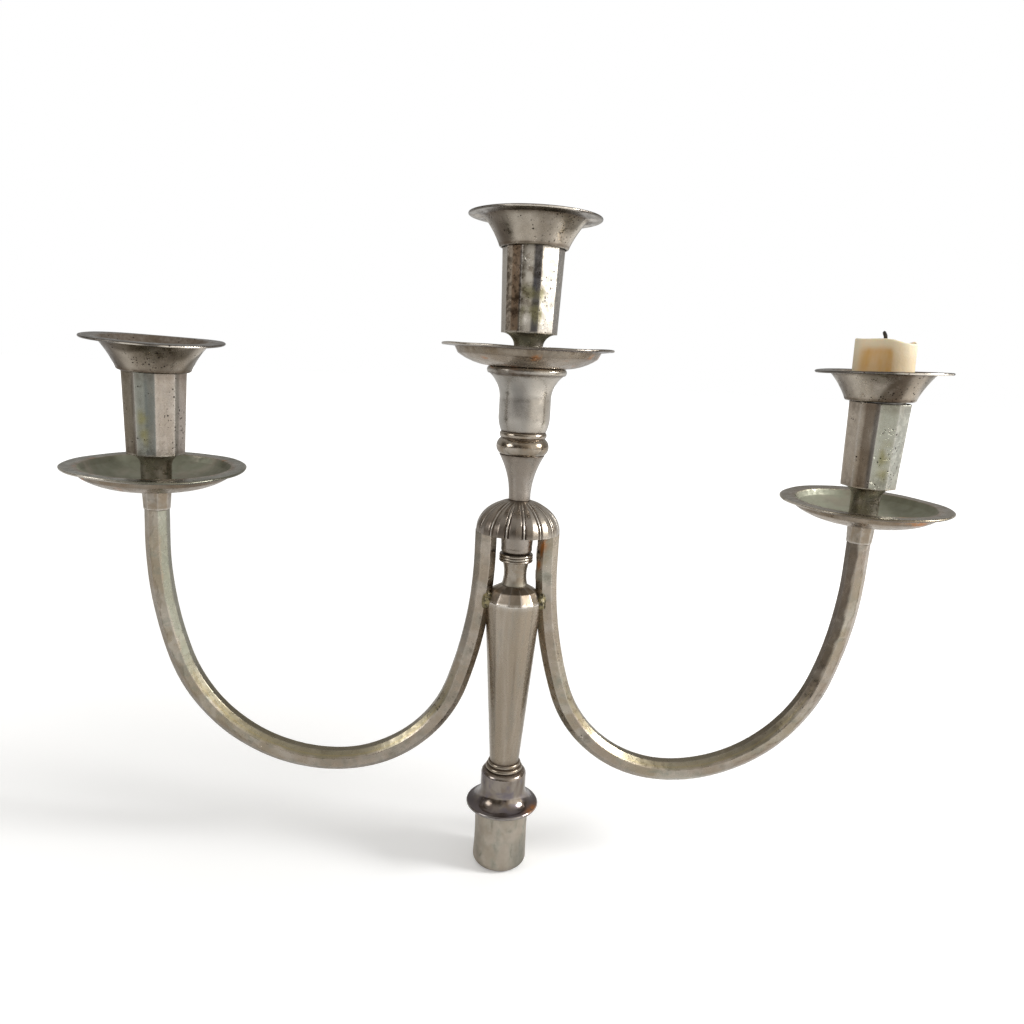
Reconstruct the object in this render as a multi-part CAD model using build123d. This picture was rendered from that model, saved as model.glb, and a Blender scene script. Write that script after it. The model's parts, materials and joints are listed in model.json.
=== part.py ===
"""Lift-off three-light branch of a candelabrum, in millimetres, +Z up.

The origin is the centre of the flange's seat: the spigot hangs below it into a candlestick, and the stem,
the two arms and the three lights stand above it. +X points to the right arm and -Y to the front.

Every light is modelled in its own frame, whose origin is the middle of the drip pan's underside and whose
Z is the light's axis. A nozzle has its own frame too, on the sconce's rim, because a loose nozzle tips.
"""

from build123d import *
import os
from math import cos, radians, sin, sqrt

# Fits, all radial unless they say otherwise
TURN_GAP = 0.05          # a screw's shank in the bore it turns in
ROD_GAP = 0.15           # the tie rod in the pieces that it draws together
PEG_GAP = 0.08           # the centre light's peg in the urn socket
SOLDER_GAP = 0.05        # between two soldered faces
TUBE_PLAY = 0.55         # a nozzle's tube inside the sconce's flats, at the tube's lower end
SKIRT_PLAY = 0.35        # a nozzle's skirt round the sconce's corners
CANDLE_PLAY = 0.25       # the candle's shaved foot in the nozzle's tube
WICK_GAP = 0.1           # the wick in the wax
CANDLE_FOOT_GAP = 1.0    # below the candle's foot, to the tube's lower end

# Shared by several outlines
PAST = 1.0                          # how far a cutting solid runs past what it cuts
ROUND = 1 - cos(radians(45))        # of a rounded corner's size, to the middle of its arc

# Spigot, flange and collar
SPIGOT_RADIUS = 11.1
SPIGOT_LENGTH = 26.0
SPIGOT_EDGE = 2.0        # rounding of the spigot's lower edge
SPIGOT_THREAD = 14.0     # how far the tie rod screws into the spigot
SPIGOT_HEAD = 1.2        # how far the spigot stands in a recess under the flange
SPIGOT_HEAD_IN = 1.0     # how much narrower the spigot's head is at its top
SEAT_RELIEF = 0.7        # width of the open groove round the spigot's head
FLANGE_RADIUS = 14.75
FLANGE_THICKNESS = 1.6
COLLAR_RADIUS = 9.2
COLLAR_HEIGHT = 15.6
COLLAR_SHOULDER = 2.4    # height of the rounding at the collar's top
COLLAR_SHOULDER_IN = 1.4
FLARE_HEIGHT = 8.6       # where the collar's wall starts to spread into the flange
FLARE_HOLLOW = 0.2       # share of the spread that is left at half the flare's height
FOOT_RING_RADIUS = 7.5
FOOT_RING_STEP = 0.8     # how much smaller the upper bead is than the lower one
FOOT_BEAD_HEIGHT = 1.8
FOOT_BEAD_GROOVE = 0.5

# Faceted baluster
BALUSTER_SIDES = 14
BALUSTER_FOOT = 5.95     # corner radius at the foot
BALUSTER_RADIUS = 11.3   # corner radius at the shoulder's edge
BALUSTER_LENGTH = 68.3
BALUSTER_WALL = 1.4
SHOULDER_RADIUS = 9.0    # corner radius where the shoulder turns flatter
SHOULDER_RISE = 4.1
CAP_RADIUS = 5.4
CAP_RISE = 2.0

# Neck, dome and upper stem
NECK_RADIUS = 4.7
NECK_TOP_RADIUS = 5.35
NECK_LENGTH = 9.5
NECK_FLARE = 0.4         # how much the neck spreads at its foot
NECK_WAIST = 0.2         # share of the neck's length up to its waist
NECK_RING_RADIUS = 6.6
NECK_BEADS = 3
NECK_BEAD_HEIGHT = 1.05
NECK_BEAD_GROOVE = 0.35
COLUMN_FOOT = 5.9
COLUMN_RADIUS = 6.6
COLUMN_RISE = 8.75       # from the neck ring to the dome's edge
DOME_RADIUS = 16.4
DOME_SEMI_HEIGHT = 12.7  # of the ellipse that the dome follows
DOME_HEIGHT = 12.3       # to the flat that the cone stands on
DOME_WALL = 1.2
DOME_LOBES = 15
DOME_LOBE_TURN = 5.0     # degrees from the front to a groove
GROOVE_WIDTH = 0.7
GROOVE_DEPTH = 0.55
GROOVE_START = 5.6       # radius at which the grooves begin
DOME_FLOOR = 1.8         # thickness of the plate that the arms are soldered to
CONE_FOOT = 3.95
CONE_RADIUS = 8.7
CONE_HEIGHT = 17.5
CONE_HOLLOW = 0.29       # share of the spread that is reached at half height
KNOP_RADIUS = 9.95
KNOP_HEIGHT = 6.3
KNOP_BEAD_RADIUS = 8.95
KNOP_BEAD_HEIGHT = 2.5
KNOP_GROOVE = 0.7

# Urn socket, tie rod and the centre light's peg
SOCKET_RADIUS = 9.8
SOCKET_RIM_RADIUS = 15.0
SOCKET_RIM_HEIGHT = 2.5
SOCKET_RIM_EDGE = 0.6    # rounding of the rim, in radius
SOCKET_HEIGHT = 23.7
SOCKET_FLOOR = 6.4
SOCKET_FOOT = 8.6        # radius
SOCKET_FOOT_BULGE = 0.8  # how far the foot's curve has spread at its middle
SOCKET_FOOT_RISE = 2.4   # height of that middle
SOCKET_SPREAD_AT = 11.6  # height at which the cup starts to spread
SOCKET_SPREAD = 1.15     # how far it has spread at the middle of the curve
SOCKET_SPREAD_DROP = 3.8     # from the rim down to that middle
SOCKET_THROAT = 13.9     # radius under the rim
PEG_RADIUS = 8.35
PEG_LENGTH = 11.3
PEG_CHAMFER = 0.6
ROD_RADIUS = 2.4
ROD_STAND = 1.0          # how far the rod stands out of its nut
NUT_CORNER = 4.6
NUT_HEIGHT = 3.4
WASHER_RADIUS = 5.2
WASHER_THICKNESS = 0.8

# Arms: an octagonal rod, bent down from the dome, round, and up to the light
ARM_SIDES = 8
ARM_FLATS = 8.4          # across the flats
ARM_ROOT = 12.1          # from the stem's axis to the arm's, at the dome
ARM_ROOT_DROP = 10.1     # straight length below the dome
ARM_SHOULDER_BEND = 173.0
ARM_SHOULDER_TURN = 18.5
ARM_DEPTH = 99.5         # from the dome's edge down to the axis at the arm's lowest point
ARM_REACH = 136.1        # from the stem's axis to the arm's axis at its tip
ARM_RISE_BEND = 147.0
ARM_RISE_TURN = 18.0
ARM_TIP_RISE = 1.9       # from the dome's edge up to the arm's tip
ARM_FORWARD = 1.8        # degrees that both arms lean forward about the dome's edge
LEFT_LIGHT_INWARD = 1.0  # degrees that the side lights lean in
RIGHT_LIGHT_INWARD = 0.25
ARM_UNEVEN = 0.75         # the left arm is soldered on this much higher, and the right one lower
TENON_RADIUS = 2.6
TENON_LENGTH = 3.4
FERRULE_LENGTH = 9.0
FERRULE_FOOT = 4.75      # corner radius
FERRULE_RADIUS = 5.35    # corner radius under the pan
BLOB_RADIUS = 2.1
BLOB_HALF_HEIGHT = 4.3

# Drip pan
PAN_RADIUS = 32.05
PAN_LIP = 4.85
PAN_HEIGHT = 7.2         # to the middle of the lip
PAN_FLAT = 12.5          # radius of the flat underside
PAN_WALL = 1.0
PAN_STEP_AT = 0.58       # share of the pan's height up to the corner below the step
PAN_STEP_IN = 1.2        # from the step to that corner
PAN_BELLY_AT = 0.21      # share of the pan's height at the middle of the well's curve
PAN_BELLY_OUT = 1.0      # how far that curve bulges outwards
PAN_LIP_SLOPE = 0.2      # how much lower the lip is at the step than at its edge

# Sconce: a ten-sided cup on a turned neck, and the screw that holds it
SCONCE_SIDES = 10
SCONCE_RADIUS = 11.5     # corner radius at the rim
SCONCE_FOOT = 10.45      # corner radius at the foot
SCONCE_WALL = 0.7
SCONCE_BOTTOM = 12.3     # height of the cup's lower corner over the pan's underside
SCONCE_LENGTH = 30.9
RIGHT_SCONCE_HIGHER = 1.8    # the three cups were raised by hand, and this one is the tallest
RIGHT_SCONCE_LONGER = 1.6
LEFT_SCONCE_SHORTER = 0.7
SCONCE_FLOOR = 1.3
NECK_OF_SCONCE = 5.4
NECK_FOOT_FLARE = 0.8
NECK_FILLET = 4.7        # height of the hollow curve under the cup
FILLET_HOLLOW = 0.3      # share of the curve's spread that is reached at its middle
SCREW_RADIUS = 1.95
SCREW_DEPTH = 4.6        # below the pan
SCREW_HEAD_RADIUS = 3.8
SCREW_HEAD_HEIGHT = 2.0
SLOT_WIDTH = 0.8
SLOT_DEPTH = 0.8

# Nozzle: a flared dish with a skirt over the sconce's rim, and a tube for the candle
NOZZLE_RADIUS = 24.5
NOZZLE_LIP = 5.8
NOZZLE_HEIGHT = 10.2     # from the sconce's rim to the middle of the lip
NOZZLE_WALL = 0.9
SKIRT_THICKNESS = 0.95
SKIRT_DEPTH = 0.9
SKIRT_LAND = 0.3         # flat part of the skirt's lower edge
SKIRT_BULGE = 0.85       # of the skirt's thickness, at the middle of its rounding
NOZZLE_WAIST = 0.4       # share of the dish's spread that is reached at its waist
NOZZLE_WAIST_AT = 0.45   # share of the dish's height up to the waist
NOZZLE_THROAT_DROP = 0.8     # from the lip's middle down to where the lip begins
NOZZLE_WELL_CORNER = 0.3     # bevel between the dish's floor and its wall
TUBE_WALL = 0.6
TUBE_LENGTH = 14.0
TUBE_COLLAR = 0.8        # how far the tube's collar laps over the dish's floor
NOZZLE_REST = 0.05       # the least gap between the dish and the sconce's rim
LEFT_NOZZLE_FORWARD = 1.5    # degrees that the loose nozzles tip on their sconces
LEFT_NOZZLE_INWARD = 1.0
RIGHT_NOZZLE_BACK = 1.4
RIGHT_NOZZLE_INWARD = 1.6
RIGHT_NOZZLE_RAISED = 1.4    # the candle's foot holds this nozzle off its seat
NOZZLE_SEAT_PLAY = 0.8       # how high the tipped left nozzle stands off its seat

# Candle stub
CANDLE_RADIUS = 11.05
CANDLE_STAND = 12.0      # above the nozzle's lip
CANDLE_FOOT = 8.1        # radius at the shaved foot
CANDLE_SHAVED = 3.0      # height of the slope from the shaved foot to the full candle
CANDLE_EDGE = 0.8        # rounding of the melted rim
CANDLE_DISH = 1.6        # depth of the melted hollow round the wick
WICK_RADIUS = 0.65
WICK_BURIED = 6.0
WICK_STAND = 4.4
WICK_BEND = 2.2
WICK_CURL = 70           # degrees

# Heights up the stem, each piece standing on the one below
FOOT_RING_AT = COLLAR_HEIGHT
BALUSTER_AT = FOOT_RING_AT + 2 * FOOT_BEAD_HEIGHT
SHOULDER_AT = BALUSTER_AT + BALUSTER_LENGTH
NECK_AT = SHOULDER_AT + SHOULDER_RISE + CAP_RISE
NECK_RING_AT = NECK_AT + NECK_LENGTH
COLUMN_AT = NECK_RING_AT + NECK_BEADS * NECK_BEAD_HEIGHT
DOME_AT = COLUMN_AT + COLUMN_RISE
CONE_AT = DOME_AT + DOME_HEIGHT
KNOP_AT = CONE_AT + CONE_HEIGHT
SOCKET_AT = KNOP_AT + KNOP_HEIGHT + KNOP_BEAD_HEIGHT
CENTRE_PAN_AT = SOCKET_AT + SOCKET_HEIGHT
ROD_BORE = ROD_RADIUS + ROD_GAP
SCREW_BORE = SCREW_RADIUS + TURN_GAP
ARM_FACET = 180 / ARM_SIDES
ARM_CORNER = ARM_FLATS / 2 / cos(radians(ARM_FACET))
SCONCE_FACET = 180 / SCONCE_SIDES


def turned(start, *stretches):
    """Solid turned about Z. Points are (radius, height); a pair of points is an arc through the first."""
    edges = []
    here = start
    for stretch in stretches + (start,):
        if isinstance(stretch[0], tuple):
            through, there = stretch
            edges.append(ThreePointArc(here, through, there))
        else:
            there = stretch
            if there != here:
                edges.append(Line(here, there))
        here = there
    return revolve(Plane.XZ * make_face(edges), Axis.Z)


def faceted(sides, *rings, turn=0.0):
    """Solid with flat sides through rings of (corner radius, height), with a corner at the given turn."""
    spans = []
    for (low_radius, low), (high_radius, high) in zip(rings, rings[1:]):
        foot = Pos(0, 0, low) * Rot(Z=turn) * RegularPolygon(low_radius, sides)
        head = Pos(0, 0, high) * Rot(Z=turn) * RegularPolygon(high_radius, sides)
        spans.append(loft([foot, head], ruled=True))
    return fused(spans)


def fused(solids):
    """One solid out of several that touch."""
    whole = solids[0]
    for solid in solids[1:]:
        whole = whole + solid
    return whole


def rod(radius, low, high):
    """Plain cylinder on the Z axis between two heights."""
    return Pos(0, 0, low) * Cylinder(radius, high - low, align=(Align.CENTER, Align.CENTER, Align.MIN))


# ---------------------------------------------------------------- stem

def make_spigot():
    """Plug for a candlestick's socket, rounded below, with a blind bore for the tie rod."""
    bottom = -SPIGOT_LENGTH
    corner = SPIGOT_EDGE * ROUND
    return turned(
        (0, bottom),
        (SPIGOT_RADIUS - SPIGOT_EDGE, bottom),
        ((SPIGOT_RADIUS - corner, bottom + corner), (SPIGOT_RADIUS, bottom + SPIGOT_EDGE)),
        (SPIGOT_RADIUS, 0),
        (SPIGOT_RADIUS - SPIGOT_HEAD_IN, SPIGOT_HEAD),
        (ROD_RADIUS + TURN_GAP, SPIGOT_HEAD),
        (ROD_RADIUS + TURN_GAP, -SPIGOT_THREAD),
        (0, -SPIGOT_THREAD),
    )


def make_flange_collar():
    """Flange that rests on the candlestick, sweeping up into a collar with a rounded shoulder."""
    edge = FLANGE_THICKNESS / 2
    spread = FLANGE_RADIUS - COLLAR_RADIUS
    relief = SPIGOT_RADIUS + SEAT_RELIEF
    shoulder = (COLLAR_RADIUS - COLLAR_SHOULDER_IN * ROUND, COLLAR_HEIGHT - COLLAR_SHOULDER * ROUND)
    return turned(
        (ROD_BORE, SPIGOT_HEAD),
        (relief - SPIGOT_HEAD_IN, SPIGOT_HEAD),
        (relief, 0),
        (FLANGE_RADIUS - edge, 0),
        ((FLANGE_RADIUS, edge), (FLANGE_RADIUS - edge, FLANGE_THICKNESS)),
        ((COLLAR_RADIUS + spread * FLARE_HOLLOW, FLARE_HEIGHT / 2), (COLLAR_RADIUS, FLARE_HEIGHT)),
        (COLLAR_RADIUS, COLLAR_HEIGHT - COLLAR_SHOULDER),
        (shoulder, (COLLAR_RADIUS - COLLAR_SHOULDER_IN, COLLAR_HEIGHT)),
        (ROD_BORE, COLLAR_HEIGHT),
    )


def make_foot_ring():
    """Two turned beads under the baluster, the upper one smaller."""
    groove = FOOT_BEAD_GROOVE
    low, middle = FOOT_RING_AT, FOOT_RING_AT + FOOT_BEAD_HEIGHT
    top = BALUSTER_AT
    upper = FOOT_RING_RADIUS - FOOT_RING_STEP
    return turned(
        (ROD_BORE, low),
        (FOOT_RING_RADIUS - groove, low),
        ((FOOT_RING_RADIUS, (low + middle) / 2), (FOOT_RING_RADIUS - groove, middle)),
        (upper - groove, middle),
        ((upper, (middle + top) / 2), (upper - groove, top)),
        (ROD_BORE, top),
    )


def baluster_rings(growth=0.0):
    """Corner radii and heights of the baluster's outside, grown by a given amount."""
    return (
        (BALUSTER_FOOT + growth, BALUSTER_AT),
        (BALUSTER_RADIUS + growth, SHOULDER_AT),
        (SHOULDER_RADIUS + growth, SHOULDER_AT + SHOULDER_RISE),
        (CAP_RADIUS + growth, NECK_AT),
    )


def make_baluster():
    """Hollow many-sided baluster, closed at both ends but for the tie rod's bore."""
    low = BALUSTER_AT + 2 * BALUSTER_WALL
    high = SHOULDER_AT - BALUSTER_WALL
    taper = (BALUSTER_RADIUS - BALUSTER_FOOT) / BALUSTER_LENGTH
    low_radius = BALUSTER_FOOT + taper * (low - BALUSTER_AT) - BALUSTER_WALL
    high_radius = BALUSTER_FOOT + taper * (high - BALUSTER_AT) - BALUSTER_WALL
    hollow = faceted(BALUSTER_SIDES, (low_radius, low), (high_radius, high))
    return faceted(BALUSTER_SIDES, *baluster_rings()) - hollow - rod(ROD_BORE, BALUSTER_AT, NECK_AT)


def make_lower_neck():
    """Waisted neck on the baluster's cap."""
    return turned(
        (ROD_BORE, NECK_AT),
        (NECK_RADIUS + NECK_FLARE, NECK_AT),
        ((NECK_RADIUS, NECK_AT + NECK_LENGTH * NECK_WAIST), (NECK_TOP_RADIUS, NECK_RING_AT)),
        (ROD_BORE, NECK_RING_AT),
    )


def make_neck_ring():
    """Reeded ring of equal beads."""
    groove = NECK_RING_RADIUS - NECK_BEAD_GROOVE
    stretches = [(groove, NECK_RING_AT)]
    for bead in range(NECK_BEADS):
        low = NECK_RING_AT + bead * NECK_BEAD_HEIGHT
        crest = (NECK_RING_RADIUS, low + NECK_BEAD_HEIGHT / 2)
        stretches.append((crest, (groove, low + NECK_BEAD_HEIGHT)))
    return turned((ROD_BORE, NECK_RING_AT), *stretches, (ROD_BORE, COLUMN_AT))


def dome_inside_height(radius):
    """Height over the dome's edge of its inner surface, at a given radius."""
    return (DOME_SEMI_HEIGHT - DOME_WALL) * sqrt(1 - (radius / (DOME_RADIUS - DOME_WALL)) ** 2)


def make_column():
    """Flared piece over the neck ring, and the column that carries the dome from inside."""
    top = DOME_AT + dome_inside_height(COLUMN_RADIUS) - SOLDER_GAP
    return turned(
        (ROD_BORE, COLUMN_AT),
        (COLUMN_FOOT, COLUMN_AT),
        (COLUMN_RADIUS, DOME_AT - COLUMN_RISE / 2),
        (COLUMN_RADIUS, top),
        (ROD_BORE, top),
    )


def half_egg(radius, height, floor=0.0):
    """Half an ellipsoid of revolution standing on the dome's edge."""
    arc = EllipticalCenterArc((0, 0), radius, height, 0, arc_size=90)
    face = make_face([arc, Line((0, height), (0, 0)), Line((0, 0), (radius, 0))])
    return Pos(0, 0, DOME_AT + floor) * revolve(Plane.XZ * face, Axis.Z)


def make_dome():
    """Hollow dome with lobes parted by narrow grooves that run down from the crown."""
    shell = half_egg(DOME_RADIUS, DOME_SEMI_HEIGHT)
    shell = shell - half_egg(DOME_RADIUS - DOME_WALL, DOME_SEMI_HEIGHT - DOME_WALL)
    reach = DOME_RADIUS + PAST
    length, height = reach - GROOVE_START, DOME_HEIGHT + PAST
    blade = Box(length, GROOVE_WIDTH, height, align=(Align.MIN, Align.CENTER, Align.MIN))
    blade = Pos(GROOVE_START, 0, DOME_AT) * blade
    blade = blade - half_egg(DOME_RADIUS - GROOVE_DEPTH, DOME_SEMI_HEIGHT - GROOVE_DEPTH)
    blade = blade & rod(reach, DOME_AT, CONE_AT + PAST)
    front = -90 + DOME_LOBE_TURN
    for lobe in range(DOME_LOBES):
        shell = shell - Rot(Z=front + lobe * 360 / DOME_LOBES) * blade
    shell = shell - rod(DOME_RADIUS, CONE_AT, CONE_AT + DOME_SEMI_HEIGHT)
    return shell - rod(ROD_BORE, DOME_AT, CONE_AT)


def make_dome_floor():
    """Plate inside the dome's edge that the arms are soldered to."""
    rim = (DOME_RADIUS - DOME_WALL) * sqrt(1 - (DOME_FLOOR / (DOME_SEMI_HEIGHT - DOME_WALL)) ** 2)
    plate = rod(rim - SOLDER_GAP, DOME_AT, DOME_AT + DOME_FLOOR)
    return plate - rod(COLUMN_RADIUS + SOLDER_GAP, DOME_AT, DOME_AT + DOME_FLOOR)


def make_upper_cone():
    """Hollow-curved cone that spreads from the dome to the knop."""
    middle = CONE_AT + CONE_HEIGHT / 2
    return turned(
        (ROD_BORE, CONE_AT),
        (CONE_FOOT, CONE_AT),
        ((CONE_FOOT + (CONE_RADIUS - CONE_FOOT) * CONE_HOLLOW, middle), (CONE_RADIUS, KNOP_AT)),
        (ROD_BORE, KNOP_AT),
    )


def make_knop():
    """Rounded knop with a small bead on top."""
    bead_at = KNOP_AT + KNOP_HEIGHT
    groove = KNOP_BEAD_RADIUS - KNOP_GROOVE
    return turned(
        (ROD_BORE, KNOP_AT),
        (groove, KNOP_AT),
        ((KNOP_RADIUS, KNOP_AT + KNOP_HEIGHT / 2), (groove, bead_at)),
        ((KNOP_BEAD_RADIUS, bead_at + KNOP_BEAD_HEIGHT / 2), (groove, SOCKET_AT)),
        (ROD_BORE, SOCKET_AT),
    )


def make_urn_socket():
    """Cup with a thick rolled rim, bored for the centre light's peg."""
    rim_low = CENTRE_PAN_AT - SOCKET_RIM_HEIGHT
    rim = SOCKET_RIM_RADIUS - SOCKET_RIM_EDGE
    bore = PEG_RADIUS + PEG_GAP
    floor = SOCKET_AT + SOCKET_FLOOR
    foot_curve = (SOCKET_FOOT + SOCKET_FOOT_BULGE, SOCKET_AT + SOCKET_FOOT_RISE)
    return turned(
        (ROD_BORE, SOCKET_AT),
        (SOCKET_FOOT, SOCKET_AT),
        (foot_curve, (SOCKET_RADIUS, floor)),
        (SOCKET_RADIUS, SOCKET_AT + SOCKET_SPREAD_AT),
        ((SOCKET_RADIUS + SOCKET_SPREAD, rim_low - SOCKET_SPREAD_DROP), (SOCKET_THROAT, rim_low)),
        (rim, rim_low),
        ((SOCKET_RIM_RADIUS, rim_low + SOCKET_RIM_HEIGHT / 2), (rim, CENTRE_PAN_AT)),
        (bore, CENTRE_PAN_AT),
        (bore, floor),
        (ROD_BORE, floor),
    )


def make_tie_rod():
    """Rod that draws the stem together, from the spigot to the nut in the urn socket."""
    return rod(ROD_RADIUS, -SPIGOT_THREAD, ROD_TOP)


def make_rod_washer():
    """Washer on the urn socket's floor."""
    floor = SOCKET_AT + SOCKET_FLOOR
    ring = rod(WASHER_RADIUS, floor, floor + WASHER_THICKNESS)
    return ring - rod(ROD_BORE, floor, floor + WASHER_THICKNESS)


def make_rod_nut():
    """Six-sided nut on the tie rod's upper end."""
    low = SOCKET_AT + SOCKET_FLOOR + WASHER_THICKNESS
    nut = faceted(6, (NUT_CORNER, low), (NUT_CORNER, low + NUT_HEIGHT))
    return nut - rod(ROD_RADIUS + TURN_GAP, low, low + NUT_HEIGHT)


ROD_TOP = SOCKET_AT + SOCKET_FLOOR + WASHER_THICKNESS + NUT_HEIGHT + ROD_STAND


# ---------------------------------------------------------------- arms

def arm_path(inward):
    """Axis of an arm in its own plane, X out and Z up: runs and tangent arcs from the dome to the tip."""
    shoulder = radians(ARM_SHOULDER_TURN)
    rise = radians(ARM_RISE_TURN)
    above = ARM_UNEVEN + ARM_FLATS
    bend_at = DOME_AT - ARM_ROOT_DROP
    shoulder_x = ARM_ROOT + ARM_SHOULDER_BEND * (1 - cos(shoulder))
    shoulder_z = bend_at - ARM_SHOULDER_BEND * sin(shoulder)
    lowest = DOME_AT - ARM_DEPTH
    inner_bend = (shoulder_z - lowest) / (1 - sin(shoulder))
    lowest_x = shoulder_x + inner_bend * cos(shoulder)
    outer_bend = (ARM_REACH - lowest_x - ARM_RISE_BEND * (1 - cos(rise))) / cos(rise)
    rise_z = lowest + outer_bend * (1 - sin(rise))
    path = [Line((ARM_ROOT, 0, DOME_AT + above), (ARM_ROOT, 0, bend_at))]
    turns = (
        ((shoulder_x, 0, shoulder_z), (sin(shoulder), 0, -cos(shoulder))),
        ((lowest_x, 0, lowest), (1, 0, 0)),
        ((lowest_x + outer_bend * cos(rise), 0, rise_z), (sin(rise), 0, cos(rise))),
    )
    heading = (0, 0, -1)
    for there, next_heading in turns:
        path.append(TangentArc(path[-1] @ 1, there, tangent=heading))
        heading = next_heading
    lean = radians(inward)
    centre_x = ARM_REACH - ARM_RISE_BEND
    centre_z = rise_z + ARM_RISE_BEND * sin(rise)
    last = (centre_x + ARM_RISE_BEND * cos(lean), 0, centre_z + ARM_RISE_BEND * sin(lean))
    path.append(TangentArc(path[-1] @ 1, last, tangent=heading))
    run = (DOME_AT + ARM_TIP_RISE - last[2]) / cos(lean)
    tip = (last[0] - run * sin(lean), 0, last[2] + run * cos(lean))
    path.append(Line(last, tip))
    return path, tip


def arm_place(side):
    """Where an arm's own plane stands on the stem. side is 1 for the right arm and -1 for the left."""
    about_dome = Pos(0, 0, DOME_AT) * Rot(X=ARM_FORWARD) * Pos(0, 0, -DOME_AT)
    turn = 0 if side > 0 else 180
    return about_dome * Pos(0, 0, -side * ARM_UNEVEN) * Rot(Z=turn)


def tip_place(side):
    """Frame at an arm's tip, with Z along the light."""
    return arm_place(side) * Pos(*ARM_PATHS[side][1]) * Rot(Y=-LIGHT_INWARDS[side])


def bent_bar(side):
    """Octagonal rod swept along the arm's path, cut level under the dome, with a tenon at its tip."""
    path = ARM_PATHS[side][0]
    section_plane = Plane(origin=path[0] @ 0, z_dir=(0, 0, -1), x_dir=(0, 1, 0))
    section = section_plane * Rot(Z=ARM_FACET) * RegularPolygon(ARM_CORNER, ARM_SIDES)
    bar = arm_place(side) * sweep(section, path=Wire(path))
    bar = bar - rod(ARM_ROOT + 2 * ARM_FLATS, DOME_AT, DOME_AT + 3 * ARM_FLATS)
    return bar + tip_place(side) * rod(TENON_RADIUS, 0, TENON_LENGTH)


def make_arm(bar):
    """Arm coped to sit against the baluster's shoulder."""
    return bar - faceted(BALUSTER_SIDES, *baluster_rings(SOLDER_GAP))


def make_solder(side, bar):
    """Two runs of solder in the corners between an arm and the baluster's shoulder."""
    shoulder = faceted(BALUSTER_SIDES, *baluster_rings(SOLDER_GAP))
    back = sin(radians(ARM_FORWARD)) * (DOME_AT - SHOULDER_AT)
    runs = []
    for face in (-1, 1):
        y = back + face * ARM_FLATS / 2
        x = sqrt(BALUSTER_RADIUS**2 - y**2)
        blob = rod(BLOB_RADIUS, -BLOB_HALF_HEIGHT, BLOB_HALF_HEIGHT)
        piece = Pos(side * x, y, SHOULDER_AT) * blob - shoulder - bar
        runs.append(max(piece.solids(), key=lambda solid: solid.volume))
    return Compound(children=runs)


def make_ferrule():
    """Eight-sided cap on an arm's tip, bored below for the arm's tenon and above for the sconce's screw."""
    cap = faceted(ARM_SIDES, (FERRULE_FOOT, 0), (FERRULE_RADIUS, FERRULE_LENGTH), turn=ARM_FACET)
    cap = cap - rod(TENON_RADIUS + SOLDER_GAP, 0, TENON_LENGTH + SOLDER_GAP)
    return cap - rod(SCREW_BORE, FERRULE_LENGTH - SCREW_DEPTH, FERRULE_LENGTH)


# ---------------------------------------------------------------- lights, each in its own frame

def make_pan():
    """Shallow drip pan with a flat lip, a step inside it and a rounded well."""
    well = PAN_RADIUS - PAN_LIP
    half = PAN_WALL / 2
    low_lip, high_lip = PAN_HEIGHT - half, PAN_HEIGHT + half
    step = PAN_HEIGHT * PAN_STEP_AT
    belly = ((PAN_FLAT + well) / 2 + PAN_BELLY_OUT, PAN_HEIGHT * PAN_BELLY_AT)
    inner_belly = (belly[0] - PAN_WALL / 2, belly[1] + PAN_WALL)
    return turned(
        (SCREW_BORE, 0),
        (PAN_FLAT, 0),
        (belly, (well - PAN_STEP_IN, step)),
        (well, low_lip - PAN_LIP_SLOPE),
        (PAN_RADIUS - half, low_lip),
        ((PAN_RADIUS, PAN_HEIGHT), (PAN_RADIUS - half, high_lip)),
        (well - PAN_WALL, high_lip - PAN_LIP_SLOPE),
        (well - PAN_STEP_IN - PAN_WALL, step + PAN_WALL),
        (inner_belly, (PAN_FLAT, PAN_WALL)),
        (SCREW_BORE, PAN_WALL),
    )


def make_sconce(bottom, top, turn):
    """Ten-sided cup, widening upwards, on a turned neck that stands in the pan."""
    flats = cos(radians(SCONCE_FACET))
    taper = (SCONCE_RADIUS - SCONCE_FOOT) / (top - bottom)
    wall = SCONCE_WALL / flats
    floor = bottom + SCONCE_FLOOR
    cup = faceted(SCONCE_SIDES, (SCONCE_FOOT, bottom), (SCONCE_RADIUS, top), turn=turn)
    inner_foot = SCONCE_FOOT + taper * SCONCE_FLOOR - wall
    hollow = faceted(SCONCE_SIDES, (inner_foot, floor), (SCONCE_RADIUS - wall, top), turn=turn)
    curve_at = bottom - NECK_FILLET
    shelf = SCONCE_FOOT * flats
    spread = (shelf - NECK_OF_SCONCE) * FILLET_HOLLOW
    hollow_curve = (NECK_OF_SCONCE + spread, bottom - NECK_FILLET * FILLET_HOLLOW)
    neck = turned(
        (SCREW_BORE, PAN_WALL),
        (NECK_OF_SCONCE + NECK_FOOT_FLARE, PAN_WALL),
        (NECK_OF_SCONCE, PAN_WALL + NECK_FOOT_FLARE),
        (NECK_OF_SCONCE, curve_at),
        (hollow_curve, (shelf, bottom)),
        (SCREW_BORE, bottom),
    )
    return neck + (cup - hollow) - rod(SCREW_BORE, bottom, floor)


def make_screw(bottom):
    """Cheese-headed screw through the sconce's neck and the pan."""
    seat = bottom + SCONCE_FLOOR
    shank = rod(SCREW_RADIUS, -SCREW_DEPTH + TURN_GAP, seat)
    head = rod(SCREW_HEAD_RADIUS, seat, seat + SCREW_HEAD_HEIGHT)
    slot = Pos(0, 0, seat + SCREW_HEAD_HEIGHT) * Box(3 * SCREW_HEAD_RADIUS, SLOT_WIDTH, 2 * SLOT_DEPTH)
    return shank + head - slot


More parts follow.
